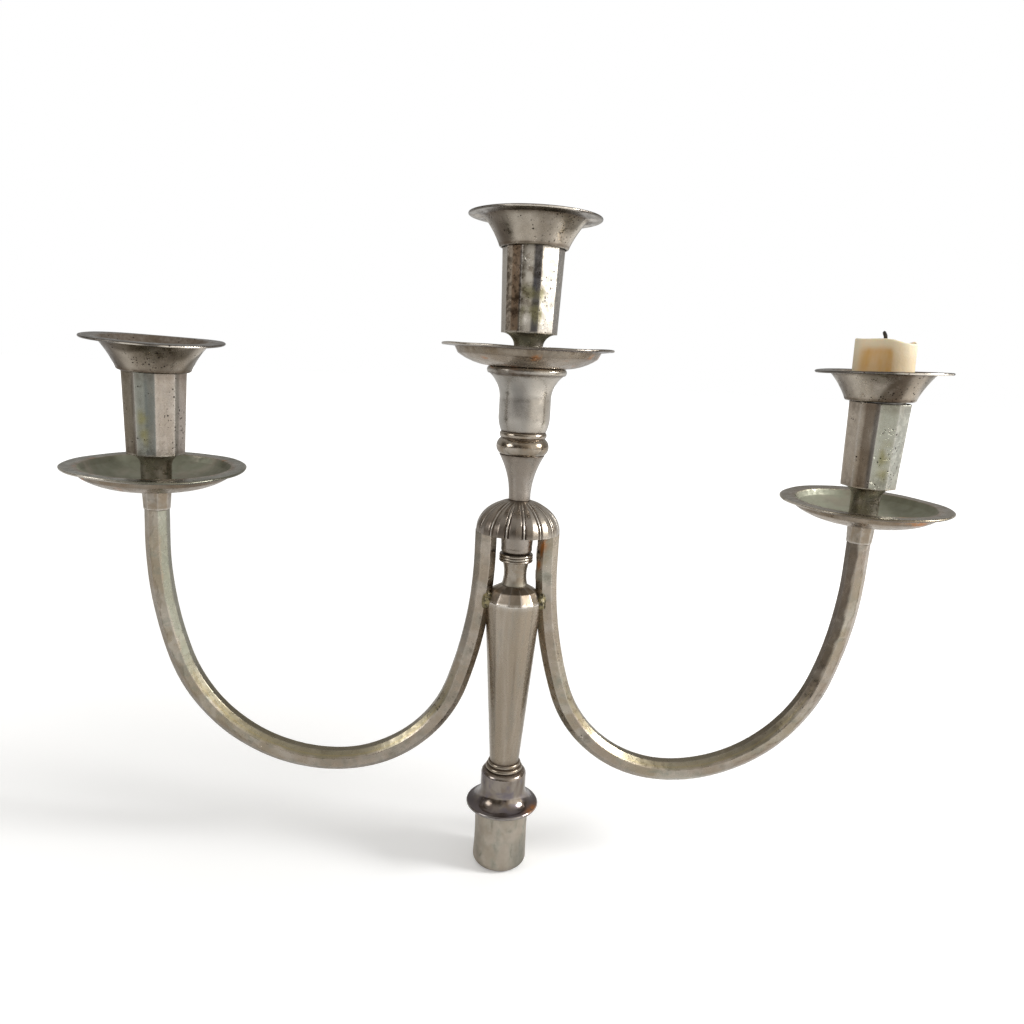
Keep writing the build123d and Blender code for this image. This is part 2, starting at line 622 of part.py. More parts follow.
def make_peg():
    """Peg under the centre pan that drops into the urn socket."""
    return turned(
        (0, -PEG_LENGTH),
        (PEG_RADIUS - PEG_CHAMFER, -PEG_LENGTH),
        (PEG_RADIUS, PEG_CHAMFER - PEG_LENGTH),
        (PEG_RADIUS, 0),
        (SCREW_BORE, 0),
        (SCREW_BORE, -SCREW_DEPTH),
        (0, -SCREW_DEPTH),
    )


def tube_outside():
    """Outer radius of a nozzle's tube: the sconce's inside flats at the tube's lower end, less the play."""
    flats = cos(radians(SCONCE_FACET))
    taper = (SCONCE_RADIUS - SCONCE_FOOT) / SCONCE_LENGTH
    return (SCONCE_RADIUS - taper * TUBE_LENGTH) * flats - SCONCE_WALL - TUBE_PLAY


def make_nozzle_dish():
    """Flared dish with a flat lip, a floor round the tube and a short skirt over the sconce's rim."""
    hole = TUBE_RADIUS + SOLDER_GAP
    skirt = SCONCE_RADIUS + SKIRT_PLAY
    corner = skirt + SKIRT_THICKNESS
    throat = NOZZLE_RADIUS - NOZZLE_LIP
    half = NOZZLE_WALL / 2
    throat_at = NOZZLE_HEIGHT - NOZZLE_THROAT_DROP
    waist = corner + (throat - corner) * NOZZLE_WAIST
    waist_at = NOZZLE_HEIGHT * NOZZLE_WAIST_AT
    skirt_curve = (skirt + SKIRT_THICKNESS * SKIRT_BULGE, -SKIRT_DEPTH / 2)
    inner = corner - NOZZLE_WALL
    bevel = NOZZLE_WELL_CORNER
    return turned(
        (hole, 0),
        (skirt, 0),
        (skirt, -SKIRT_DEPTH),
        (skirt + SKIRT_LAND, -SKIRT_DEPTH),
        (skirt_curve, (corner, 0)),
        ((waist, waist_at), (throat, throat_at)),
        (NOZZLE_RADIUS - half, NOZZLE_HEIGHT - half),
        ((NOZZLE_RADIUS, NOZZLE_HEIGHT), (NOZZLE_RADIUS - half, NOZZLE_HEIGHT + half)),
        (throat - half, throat_at + NOZZLE_WALL),
        ((waist - NOZZLE_WALL, waist_at + half), (inner, NOZZLE_WALL + bevel)),
        (inner - bevel, NOZZLE_WALL),
        (hole, NOZZLE_WALL),
    )


def make_nozzle_tube():
    """Tube for the candle, hung by a collar on the dish's floor."""
    collar = NOZZLE_WALL + TUBE_WALL
    outside = rod(TUBE_RADIUS, collar - TUBE_LENGTH, collar)
    lap = rod(TUBE_RADIUS + TUBE_COLLAR, NOZZLE_WALL, collar)
    return outside + lap - rod(TUBE_BORE, collar - TUBE_LENGTH, collar)


def make_candle():
    """Candle stub: a shaved foot in the tube, the full candle above, and a melted hollow on top."""
    collar = NOZZLE_WALL + TUBE_WALL
    top = NOZZLE_HEIGHT + CANDLE_STAND
    at_collar = TUBE_BORE - CANDLE_PLAY
    foot_at = collar - TUBE_LENGTH + CANDLE_FOOT_GAP
    edge = CANDLE_EDGE * ROUND
    rim = CANDLE_RADIUS - CANDLE_EDGE
    hollow = (rim / 2, top - CANDLE_DISH * sin(radians(60)))
    body = turned(
        (0, foot_at),
        (CANDLE_FOOT, foot_at),
        (at_collar, collar),
        (CANDLE_RADIUS, collar + CANDLE_SHAVED),
        (CANDLE_RADIUS, top - CANDLE_EDGE),
        ((CANDLE_RADIUS - edge, top - edge), (rim, top)),
        (hollow, (0, top - CANDLE_DISH)),
    )
    return body - rod(WICK_RADIUS + WICK_GAP, WICK_AT, top)


def make_wick():
    """Burnt wick, straight in the wax and bent over at its end."""
    straight = WICK_BURIED + WICK_STAND - WICK_BEND
    shaft = rod(WICK_RADIUS, WICK_AT, WICK_AT + straight)
    bend_axis = Axis((-WICK_BEND, 0, WICK_AT + straight), (0, -1, 0))
    return shaft + revolve(Pos(0, 0, WICK_AT + straight) * Circle(WICK_RADIUS), bend_axis, WICK_CURL)


LIGHT_INWARDS = {1: RIGHT_LIGHT_INWARD, -1: LEFT_LIGHT_INWARD}
ARM_PATHS = {side: arm_path(inward) for side, inward in LIGHT_INWARDS.items()}
TUBE_RADIUS = tube_outside()
TUBE_BORE = TUBE_RADIUS - TUBE_WALL
WICK_AT = NOZZLE_HEIGHT + CANDLE_STAND - CANDLE_DISH - WICK_BURIED
LIGHT_PLACES = {
    "left": tip_place(-1) * Pos(0, 0, FERRULE_LENGTH),
    "centre": Pos(0, 0, CENTRE_PAN_AT),
    "right": tip_place(1) * Pos(0, 0, FERRULE_LENGTH),
}
SCONCE_TURNS = {"left": 90.0, "centre": 90.0 + SCONCE_FACET, "right": 90.0 + SCONCE_FACET}
RIGHT_SCONCE_BOTTOM = SCONCE_BOTTOM + RIGHT_SCONCE_HIGHER
SCONCE_BOTTOMS = {"left": SCONCE_BOTTOM, "centre": SCONCE_BOTTOM, "right": RIGHT_SCONCE_BOTTOM}
SCONCE_TOPS = {
    "left": SCONCE_BOTTOM + SCONCE_LENGTH - LEFT_SCONCE_SHORTER,
    "centre": SCONCE_BOTTOM + SCONCE_LENGTH,
    "right": RIGHT_SCONCE_BOTTOM + SCONCE_LENGTH + RIGHT_SCONCE_LONGER,
}
TIP_ABOUT = TUBE_LENGTH / 2
NOZZLE_TIPS = {
    "left": Rot(X=-LEFT_NOZZLE_FORWARD, Y=-LEFT_NOZZLE_INWARD),
    "centre": Rot(),
    "right": Rot(X=-RIGHT_NOZZLE_BACK, Y=-RIGHT_NOZZLE_INWARD),
}
NOZZLE_LIFTS = {"left": NOZZLE_SEAT_PLAY, "centre": NOZZLE_REST, "right": RIGHT_NOZZLE_RAISED}


def nozzle_place(light):
    """Frame of a nozzle: on the sconce's rim, lifted and tipped about the middle of its tube."""
    seat = LIGHT_PLACES[light] * Pos(0, 0, SCONCE_TOPS[light] + NOZZLE_LIFTS[light] - TIP_ABOUT)
    return seat * NOZZLE_TIPS[light] * Pos(0, 0, TIP_ABOUT)


def build_parts():
    """Every node's solid, by name."""
    bars = {"left": bent_bar(-1), "right": bent_bar(1)}
    parts = {
        "spigot_plug": make_spigot(),
        "flange_collar": make_flange_collar(),
        "stem_foot_ring": make_foot_ring(),
        "baluster": make_baluster(),
        "lower_neck": make_lower_neck(),
        "neck_ring": make_neck_ring(),
        "dome_column": make_column(),
        "lobed_dome": make_dome(),
        "dome_floor": make_dome_floor(),
        "upper_cone": make_upper_cone(),
        "knop": make_knop(),
        "urn_socket": make_urn_socket(),
        "tie_rod": make_tie_rod(),
        "rod_washer": make_rod_washer(),
        "rod_nut": make_rod_nut(),
        "left_arm": make_arm(bars["left"]),
        "right_arm": make_arm(bars["right"]),
        "left_solder": make_solder(-1, bars["left"]),
        "right_solder": make_solder(1, bars["right"]),
        "left_ferrule": tip_place(-1) * make_ferrule(),
        "right_ferrule": tip_place(1) * make_ferrule(),
        "centre_peg": LIGHT_PLACES["centre"] * make_peg(),
    }
    for light, place in LIGHT_PLACES.items():
        parts[light + "_pan"] = place * make_pan()
        sconce = make_sconce(SCONCE_BOTTOMS[light], SCONCE_TOPS[light], SCONCE_TURNS[light])
        parts[light + "_sconce"] = place * sconce
        parts[light + "_sconce_screw"] = place * make_screw(SCONCE_BOTTOMS[light])
        parts[light + "_nozzle_dish"] = nozzle_place(light) * make_nozzle_dish()
        parts[light + "_nozzle_tube"] = nozzle_place(light) * make_nozzle_tube()
    parts["candle_stub"] = nozzle_place("right") * make_candle()
    parts["wick"] = nozzle_place("right") * make_wick()
    return parts


os.makedirs("parts", exist_ok=True)
for node, solid in build_parts().items():
    export_step(solid, os.path.join("parts", node + ".step"))
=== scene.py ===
"""Looks of the lift-off candelabrum branch: visible pieces as worked-out surfaces, finishes and stage.

All places are in the packed model's own frame: Z runs up the stem from the flange's seat, X points to the
right arm and -Y is the front. Settings and finished meshes are in metres. Outlines, and the numbers that are
worked out over them, are in mm.
"""
import json
from collections import namedtuple

import bmesh
import bpy
import numpy as np
from bpy.props import FloatProperty, FloatVectorProperty, IntProperty, PointerProperty
from mathutils import Matrix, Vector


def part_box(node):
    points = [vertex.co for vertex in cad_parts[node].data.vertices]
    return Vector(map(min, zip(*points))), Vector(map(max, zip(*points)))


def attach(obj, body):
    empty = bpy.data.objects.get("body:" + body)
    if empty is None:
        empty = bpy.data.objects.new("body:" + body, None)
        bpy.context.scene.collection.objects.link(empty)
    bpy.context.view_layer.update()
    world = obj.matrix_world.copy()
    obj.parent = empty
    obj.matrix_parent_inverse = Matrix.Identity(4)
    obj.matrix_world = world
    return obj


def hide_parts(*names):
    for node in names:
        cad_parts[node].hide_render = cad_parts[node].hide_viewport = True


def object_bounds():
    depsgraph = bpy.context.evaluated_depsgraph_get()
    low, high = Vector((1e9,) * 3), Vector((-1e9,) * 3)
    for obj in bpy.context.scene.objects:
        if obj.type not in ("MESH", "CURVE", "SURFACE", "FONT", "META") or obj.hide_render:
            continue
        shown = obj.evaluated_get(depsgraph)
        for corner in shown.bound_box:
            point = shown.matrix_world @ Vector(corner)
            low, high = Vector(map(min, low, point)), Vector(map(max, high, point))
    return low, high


bl_info = {
    "name": "Candelabrum branch",
    "version": (1, 0, 0),
    "blender": (4, 5, 0),
    "location": "View3D > Sidebar > Candelabrum",
    "description": "Builds the visible pieces, finishes and stage of a three-light candelabrum branch",
    "category": "Object",
}

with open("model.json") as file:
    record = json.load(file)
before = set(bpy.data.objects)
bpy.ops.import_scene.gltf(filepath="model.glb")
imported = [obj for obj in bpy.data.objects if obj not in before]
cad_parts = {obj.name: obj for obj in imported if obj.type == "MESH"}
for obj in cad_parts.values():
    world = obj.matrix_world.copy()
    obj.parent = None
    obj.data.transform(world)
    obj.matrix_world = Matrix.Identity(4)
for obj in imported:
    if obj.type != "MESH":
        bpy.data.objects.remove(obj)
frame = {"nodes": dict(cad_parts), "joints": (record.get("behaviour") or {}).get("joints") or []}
PACKED_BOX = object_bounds()
LIGHTS = ("left", "centre", "right")
JOINTS = {joint["name"]: joint for joint in frame["joints"]}
MM = 0.001


# ---------------------------------------------------------------- places

def turned_about(axis, degrees):
    """4x4 turn about a named axis."""
    return np.array(Matrix.Rotation(np.radians(degrees), 4, axis))


def shifted(x=0.0, y=0.0, z=0.0):
    """4x4 shift in metres."""
    return np.array(Matrix.Translation((x, y, z)))


def standing(origin, axis):
    """4x4 place at origin with Z along axis, and X as near to the model's X as it can be."""
    up = np.asarray(axis, float) / np.linalg.norm(axis)
    side = np.array([1.0, 0, 0]) - up * up[0]
    side /= np.linalg.norm(side)
    place = np.eye(4)
    place[:3, 0], place[:3, 1], place[:3, 2], place[:3, 3] = side, np.cross(up, side), up, origin
    return place


def light_place(light):
    """Middle of a drip pan's underside, with Z along the light: the axis that its cup turns about."""
    joint = JOINTS[light + "_sconce_turn"]
    return standing(joint["pos_m"], joint["axis"])


def heights(node):
    """Lowest and highest Z of a CAD node, in metres."""
    low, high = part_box(node)
    return low[2], high[2]


# ---------------------------------------------------------------- outlines and sections

DENSE, EVEN = 0.05, 0.04     # spacing in mm of a drawn line's points, and of an eased line's


def compass(angle):
    """Angle in degrees from -180 to 180, with the right at 0 and the front at -90."""
    return (np.degrees(angle) + 180) % 360 - 180


def run_along(line):
    """Length of the line up to each of its points."""
    return np.concatenate([[0], np.cumsum(np.linalg.norm(np.diff(line, axis=0), axis=1))])


def drawn(*stretches):
    """Dense line of (radius, height, share) in mm through the given points.

    A point is (radius, height) or (radius, height, share), where share says how far the section follows its
    polygon or its lobes. A pair of points is a circular arc through the first of them to the second.
    """
    full = lambda point: np.array(tuple(point) + (0.0,) * (3 - len(point)), float)
    here = full(stretches[0])
    runs = [here[None, :]]
    for stretch in stretches[1:]:
        if isinstance(stretch[0], tuple):
            through, there = full(stretch[0]), full(stretch[1])
            a, b, c = (p[0] + 1j * p[1] for p in (here, through, there))
            w = (c - a) / (b - a)
            centre = (a - b) * (w - abs(w) ** 2) / (2j * w.imag) * -1 + a
            start, middle, end = np.angle([a - centre, b - centre, c - centre])
            way = (end - start) % (2 * np.pi)
            if (middle - start) % (2 * np.pi) > way:
                way -= 2 * np.pi
            count = max(int(abs(way) * abs(a - centre) / DENSE), 2)
            t = np.linspace(0, 1, count + 1)[1:]
            arc = centre + (a - centre) * np.exp(1j * way * t)
            share = here[2] + (there[2] - here[2]) * t
            runs.append(np.column_stack([arc.real, arc.imag, share]))
        else:
            there = full(stretch)
            count = max(int(np.linalg.norm((there - here)[:2]) / DENSE), 2)
            t = np.linspace(0, 1, count + 1)[1:, None]
            runs.append(here + (there - here) * t)
        here = there
    return np.vstack(runs)


def eased(line, width, closed=False):
    """Line averaged over a short window, which rounds its corners and leaves its straight runs straight.

    The line is first spaced evenly along its length, then each point becomes the mean of those within half
    the width on either side. Past an open end the line is continued by its own half-turn about that end.
    """
    if closed:
        line = np.vstack([line, line[:1]])
    length = run_along(line[:, :2])
    count = int(length[-1] / EVEN)
    even = np.linspace(0, length[-1], count + 1)
    line = np.column_stack([np.interp(even, length, line[:, k]) for k in range(line.shape[1])])
    half = max(int(width / EVEN / 2), 1)
    if closed:
        padded = np.vstack([line[-1 - half:-1], line, line[1:1 + half]])
    else:
        padded = np.vstack([2 * line[0] - line[half:0:-1], line, 2 * line[-1] - line[-2:-2 - half:-1]])
    total = np.cumsum(np.vstack([np.zeros((1, line.shape[1])), padded]), axis=0)
    window = 2 * half + 1
    mean = (total[window:] - total[:-window]) / window
    return mean[:-1] if closed else mean


def thinned(line, step, turn=9.0, closed=False):
    """Line resampled so that neighbours are at most a step apart, in mm, or a turn, in degrees.

    Each point's worth is its run divided by the step plus its change of heading divided by the turn, and the
    new points lie at equal sums of worth.
    """
    if closed:
        line = np.vstack([line, line[:1]])
    run = np.diff(line[:, :2], axis=0)
    heading = np.unwrap(np.arctan2(run[:, 1], run[:, 0]))
    bend = np.abs(np.diff(heading, prepend=heading[:1]))
    worth = np.linalg.norm(run, axis=1) / step + np.degrees(bend) / turn
    total = np.concatenate([[0], np.cumsum(worth)])
    even = np.linspace(0, total[-1], int(np.ceil(total[-1])) + 1)
    line = np.column_stack([np.interp(even, total, line[:, k]) for k in range(line.shape[1])])
    return line[:-1] if closed else line


def round_section(count=96):
    """Angles of a round section, their factor of 1, and no edges."""
    angle = np.linspace(-np.pi / 2, 1.5 * np.pi, count, endpoint=False)
    return angle, np.ones(count), np.zeros(count)


def flat_section(sides, corner, ease, turn=6.0):
    """Polygon section with eased corners: angles, factors of the corner radius, and nearness to an edge.

    The polygon's radius at an angle is cos(half a facet) / cos(angle from the facet's middle). ease is the
    window that rounds the corners, as a share of the corner radius. Nearness falls from 1 at a corner to 0
    at a quarter of a facet away.
    """
    half = np.pi / sides
    angle = np.linspace(-np.pi / 2, 1.5 * np.pi, 4001)[:-1]
    off = (angle - np.radians(corner)) % (2 * half) - half
    factor = np.cos(half) / np.cos(off)
    points = 100 * np.column_stack([factor * np.cos(angle), factor * np.sin(angle)])
    points = thinned(eased(points, 100 * ease, closed=True), 100 * half / 4, turn, closed=True)
    angle = np.unwrap(np.arctan2(points[:, 1], points[:, 0]))
    factor = np.hypot(points[:, 0], points[:, 1]) / 100
    off = np.abs((angle - np.radians(corner)) % (2 * half) - half)
    near = np.clip((off - 0.75 * half) / (0.25 * half), 0, 1) ** 2
    return angle, factor, near


def ripple(points, size, seed):
    """Smooth unevenness between -1 and 1: the mean of six sine waves in scattered directions.

    Each wave is sin(2 pi (direction . point) / size / stretch + phase), with directions, stretches between
    0.6 and 1.6 and phases drawn from a seeded generator.
    """
    rng = np.random.default_rng(seed)
    ways = rng.normal(size=(6, 3))
    ways /= np.linalg.norm(ways, axis=1, keepdims=True)
    ways *= 2 * np.pi / (size * rng.uniform(0.6, 1.6, (6, 1)))
    return np.sin(points @ ways.T + rng.uniform(0, 2 * np.pi, 6)).mean(axis=-1) * 1.6


# ---------------------------------------------------------------- meshes

WELD = 2e-7              # points closer than this become one
SHARP = np.radians(38)   # an edge that turns by more is drawn sharp
At = namedtuple("At", "angle turn r z share")


def piece(name, grid, around, along, fields, body, nodes, finish, closed=False):
    """Mesh piece from a grid of points, rows along an outline and columns round a section.

    Each quad joins two rows and two columns. The columns close on themselves, and so do the rows if closed.
    Rows at the axis are welded to one point. around and along give the surface's own coordinates in metres,
    and fields are named numbers for every grid point, which the finishes read.
    """
    rows, columns = grid.shape[:2]
    i = np.arange(rows if closed else rows - 1)[:, None]
    j = np.arange(columns)[None, :]
    corners = ((i, j), (i, j + 1), (i + 1, j + 1), (i + 1, j))
    quads = np.stack([row % rows * columns + column % columns for row, column in corners],
                     axis=-1).reshape(-1, 4)
    points = grid.reshape(-1, 3)
    p, q, r, s = (points[quads[:, k]] for k in range(4))
    middle = points.mean(axis=0)
    volume = np.einsum("ij,ij->i", np.cross(q - p, r - p) + np.cross(r - p, s - p), p - middle).sum()
    u, v = (np.concatenate([ticks, [ticks[-1] + (ticks[-1] - ticks[-2])]]) for ticks in (around, along))
    pairs = [np.broadcast_arrays(u[column], v[row]) for row, column in corners]
    uv = np.stack([value for pair in pairs for value in pair], axis=-1).reshape(-1, 4, 2)
    if volume < 0:
        quads, uv = quads[:, ::-1], uv[:, ::-1]
    mesh = bpy.data.meshes.new(name)
    mesh.from_pydata(points.tolist(), [], quads.tolist())
    mesh.uv_layers.new(name="Surface").data.foreach_set("uv", np.ascontiguousarray(uv, np.float32).ravel())
    wash = fields.pop("wash", None)
    if wash is not None:
        fields["cover"] = wash[..., 3]
        attribute = mesh.attributes.new("wash", "FLOAT_COLOR", "POINT")
        attribute.data.foreach_set("color", np.ascontiguousarray(wash, np.float32).ravel())
    for field, values in fields.items():
        attribute = mesh.attributes.new(field, "FLOAT", "POINT")
        spread = np.broadcast_to(values, (rows, columns)).astype(np.float32)
        attribute.data.foreach_set("value", np.ascontiguousarray(spread).ravel())
    welded = bmesh.new()
    welded.from_mesh(mesh)
    bmesh.ops.remove_doubles(welded, verts=welded.verts, dist=WELD)
    bmesh.ops.dissolve_degenerate(welded, edges=welded.edges, dist=WELD / 2)
    welded.to_mesh(mesh)
    welded.free()
    mesh.shade_smooth()
    mesh.set_sharp_from_angle(angle=SHARP)
    made = bpy.data.objects.new(name, mesh)
    bpy.context.scene.collection.objects.link(made)
    made.data.materials.append(finished(finish))
    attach(made, body)
    if nodes:
        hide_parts(*nodes)
    return made


def washes(*layers):
    """Colour and cover for every grid point, from (share, colour) layers, each over those before it.

    A layer takes the cover from c to share + c (1 - share), and the colour, which is kept multiplied by its
    cover, from p to share x colour + p (1 - share).
    """
    shape = np.broadcast_shapes(*(np.shape(share) for share, _ in layers))
    over = np.zeros(shape + (4,))
    for share, colour in layers:
        share = np.clip(np.broadcast_to(share, shape), 0, 1)[..., None]
        over = over * (1 - share) + share * np.array(tuple(colour) + (1.0,))
    return over


def peak(values, at, width):
    """1 at a value, falling off as exp(-((value - at) / width)^2)."""
    return np.exp(-((values - at) / width) ** 2)


def ramp(values, start, run):
    """0 up to the start, then rising evenly to 1 over the run, downwards if the run is negative."""
    return np.clip((values - start) / run, 0, 1)


def between(values, low, high, soft):
    """1 from low to high, and 0 past the soft stretches outside them."""
    return np.clip((values - low) / soft + 0.5, 0, 1) * np.clip((high - values) / soft + 0.5, 0, 1)


def mottled(at, size_mm, seed, tall=1.0):
    """Ripple over a turned piece, with features that are 1 / tall times as high as they are wide."""
    flat = at.r * np.cos(at.angle), at.r * np.sin(at.angle)
    return ripple(np.stack([*flat, at.z * tall], axis=-1), size_mm, seed)


def turned(name, line, place, body, slot, nodes, finish, section=None, closed=False, swell=None, fields=None):
    """Piece whose outline turns about its place's Z.

    A point at angle t on outline point (radius, height, share) lies at radius x (1 + share x (factor(t) - 1))
    from the axis. swell and fields are given every grid point's angle, compass angle, radius, height and
    share, sizes in mm. swell gives a further change of radius and of height, and fields extra named numbers.
    """
    angle, factor, near = section or round_section()
    at = At(*np.broadcast_arrays(angle[None, :], compass(angle)[None, :], line[:, 0:1], line[:, 1:2],
                                 line[:, 2:3]))
    reach, rise = at.r * (1 + at.share * (factor - 1)), at.z
    if swell:
        wider, higher = swell(at)
        reach = np.maximum(reach + wider * np.minimum(at.r / 2, 1), 0)
        rise = rise + higher
    grid = np.stack([reach * np.cos(angle), reach * np.sin(angle), rise], axis=-1) * MM
    grid = grid @ place[:3, :3].T + place[:3, 3]
    along = run_along(line[:, :2]) * MM
    around = (angle - angle[0]) * line[:, 0].max() * MM * 0.7
    # Corners of a flat section get pale edges: partly rubbed plate, partly painted highlight.
    named = {"edge": near * at.share, **(fields(at) if fields else {})}
    piece(name, grid, around, along, named, body, nodes, finish, closed)


def repainted(finish, *nodes):
    """CAD nodes keep their own shape and take a finish of this file."""
    for name in nodes:
        for holder in frame["nodes"][name].material_slots:
            holder.material = finished(finish)


# ---------------------------------------------------------------- finishes

class Tree:
    """A node tree, with a method for each kind of step that the finishes and the stage are made of."""

    def __init__(self, holder, empty=False):
        holder.use_nodes = True
        self.tree = holder.node_tree
        if empty:
            self.tree.nodes.clear()

    def put(self, socket, value):
        """Gives a socket a value or a link."""
        if isinstance(value, bpy.types.NodeSocket):
            self.tree.links.new(value, socket)
        else:
            socket.default_value = value

    def node(self, kind, inputs=None, **settings):
        """Adds a node, sets its settings and fills its named or numbered inputs."""
        made = self.tree.nodes.new("ShaderNode" + kind)
        for key, value in settings.items():
            setattr(made, key, value)
        for key, value in (inputs or {}).items():
            self.put(made.inputs[key], value)
        return made

    def sums(self, operation, first, second, clamp=False):
        """One step of arithmetic."""
        return self.node("Math", {0: first, 1: second}, operation=operation, use_clamp=clamp).outputs[0]

    def times(self, first, second):
        """Product."""
        return self.sums("MULTIPLY", first, second)

    def plus(self, first, second, clamp=False):
        """Sum."""
        return self.sums("ADD", first, second, clamp)

    def minus(self, first, second):
        """Difference."""
        return self.sums("SUBTRACT", first, second)

    def most(self, first, second, clamp=False):
        """The larger of two values."""
        return self.sums("MAXIMUM", first, second, clamp)

    def span(self, value, low, high, start=0.0, end=1.0):
        """Value mapped smoothly from low..high to start..end."""
        inputs = {"Value": value, "From Min": low, "From Max": high, "To Min": start, "To Max": end}
        return self.node("MapRange", inputs, interpolation_type="SMOOTHSTEP").outputs["Result"]

    def over(self, share, under, over, mode="MIX"):
        """Colour over another by a share between 0 and 1."""
        rgba = lambda value: value if isinstance(value, bpy.types.NodeSocket) else (*value, 1.0)
        inputs = {0: share, 6: rgba(under), 7: rgba(over)}
        return self.node("Mix", inputs, data_type="RGBA", blend_type=mode, clamp_factor=True).outputs[2]

    def cloud(self, place, size_mm, detail=4.0, rough=0.55, bend=0.0):
        """Noise whose largest features are about size_mm across."""
        inputs = {"Vector": place, "Scale": 1 / (size_mm * MM), "Detail": detail, "Roughness": rough,
                  "Distortion": bend}
        return self.node("TexNoise", inputs).outputs["Fac"]

    def field(self, name, output="Fac"):
        """One of the piece's own named numbers or colours."""
        return self.node("Attribute", attribute_name=name, attribute_type="GEOMETRY").outputs[output]

    def scaled(self, place, x, y, z):
        """Coordinates stretched along each axis."""
        return self.node("Mapping", {"Vector": place, "Scale": (x, y, z)}).outputs[0]

    def relief(self, height, strength, depth_mm):
        """Normal of a surface raised by up to a depth."""
        return self.node("Bump", {"Strength": strength, "Distance": depth_mm * MM, "Height": height}).outputs[0]


SAGE, OLIVE, GOLD, UMBER = (0.33, 0.345, 0.275), (0.25, 0.225, 0.14), (0.34, 0.28, 0.15), (0.075, 0.055, 0.04)
BEIGE, ROSE, CREAM, SLATE = (0.40, 0.335, 0.265), (0.36, 0.29, 0.25), (0.72, 0.65, 0.55), (0.085, 0.083, 0.078)
# Silver plate: colours, size of its patches in mm, and amounts. LOOKS says what differs from piece to piece.
SILVER = {
    "pale": (0.42, 0.375, 0.32), "warm": (0.29, 0.235, 0.175), "brown": (0.10, 0.066, 0.04),
    "cool": (0.27, 0.285, 0.27), "patch": 14.0, "streak": 1.0, "warmth": 0.5, "browning": 0.25, "cooling": 0.15,
    "pits": 0.25, "pit_size": 0.42, "smooth": 0.17, "dull": 0.38, "wave": 0.03,
    "bloom": None, "bloom_share": 0.0,
}
LOOKS = {
    "nozzle silver": dict(pits=0.78, patch=11.0, browning=0.30, warmth=0.55, dull=0.40, pale=(0.36, 0.33, 0.29),
                          warm=(0.25, 0.215, 0.17)),
    "sconce silver": dict(pits=0.5, patch=9.0, streak=0.35, browning=0.25, smooth=0.13, cooling=0.25, wave=0.04,
                          pale=(0.50, 0.46, 0.40), warm=(0.34, 0.29, 0.225)),
    "pan silver": dict(pits=0.22, patch=17.0, browning=0.32, bloom=(0.21, 0.225, 0.165), bloom_share=0.8,
                       pale=(0.36, 0.31, 0.25), warm=(0.25, 0.19, 0.13)),
    "socket silver": dict(pits=0.15, patch=24.0, streak=0.4, browning=0.12, smooth=0.18, dull=0.3, wave=0.02,
                          pale=(0.42, 0.395, 0.36), warm=(0.32, 0.29, 0.25)),
    "cone silver": dict(pits=0.10, patch=14.0, streak=0.5, browning=0.15, smooth=0.2, warmth=0.65, wave=0.02,
                        pale=(0.39, 0.355, 0.32), warm=(0.30, 0.26, 0.22)),
    "bead silver": dict(pits=0.12, patch=8.0, browning=0.30, smooth=0.12, dull=0.28),
    "dome silver": dict(pits=0.05, patch=16.0, browning=0.2, warmth=0.5, smooth=0.24, dull=0.34, wave=0.01),
    "neck silver": dict(pits=0.4, patch=8.0, browning=0.3, warmth=0.6, bloom=(0.4, 0.4, 0.33), bloom_share=0.4),
    "baluster silver": dict(pits=0.10, patch=9.0, streak=0.12, browning=0.22, warmth=0.75, smooth=0.22,
                            dull=0.30, wave=0.012, pale=(0.45, 0.39, 0.32), warm=(0.36, 0.30, 0.23)),
    "collar silver": dict(pits=0.12, patch=13.0, browning=0.25, cooling=0.45, smooth=0.12, dull=0.24,
                          cool=(0.20, 0.185, 0.235), pale=(0.40, 0.355, 0.31), warm=(0.24, 0.195, 0.155)),
    "spigot metal": dict(pits=0.15, patch=10.0, streak=0.5, browning=0.35, warmth=0.5, smooth=0.36, dull=0.55,
                         cooling=0.35, pale=(0.54, 0.49, 0.42), warm=(0.42, 0.37, 0.30),
                         cool=(0.34, 0.36, 0.31)),
    "arm silver": dict(pits=0.25, patch=13.0, browning=0.25, warmth=0.55, smooth=0.2, dull=0.42, wave=0.02,
                       cooling=0.35, pale=(0.47, 0.425, 0.355), warm=(0.36, 0.305, 0.225),
                       cool=(0.25, 0.265, 0.22)),
    "ferrule silver": dict(pits=0.35, patch=7.0, browning=0.4, warmth=0.6, smooth=0.25, dull=0.45),
    "tube metal": dict(pits=0.2, patch=8.0, browning=0.5, smooth=0.3, dull=0.5,
                       pale=(0.28, 0.27, 0.26), warm=(0.21, 0.19, 0.165)),
    "screw steel": dict(pits=0.25, patch=5.0, browning=0.5, smooth=0.3, dull=0.5,
                        pale=(0.40, 0.39, 0.37), warm=(0.30, 0.26, 0.22)),
}


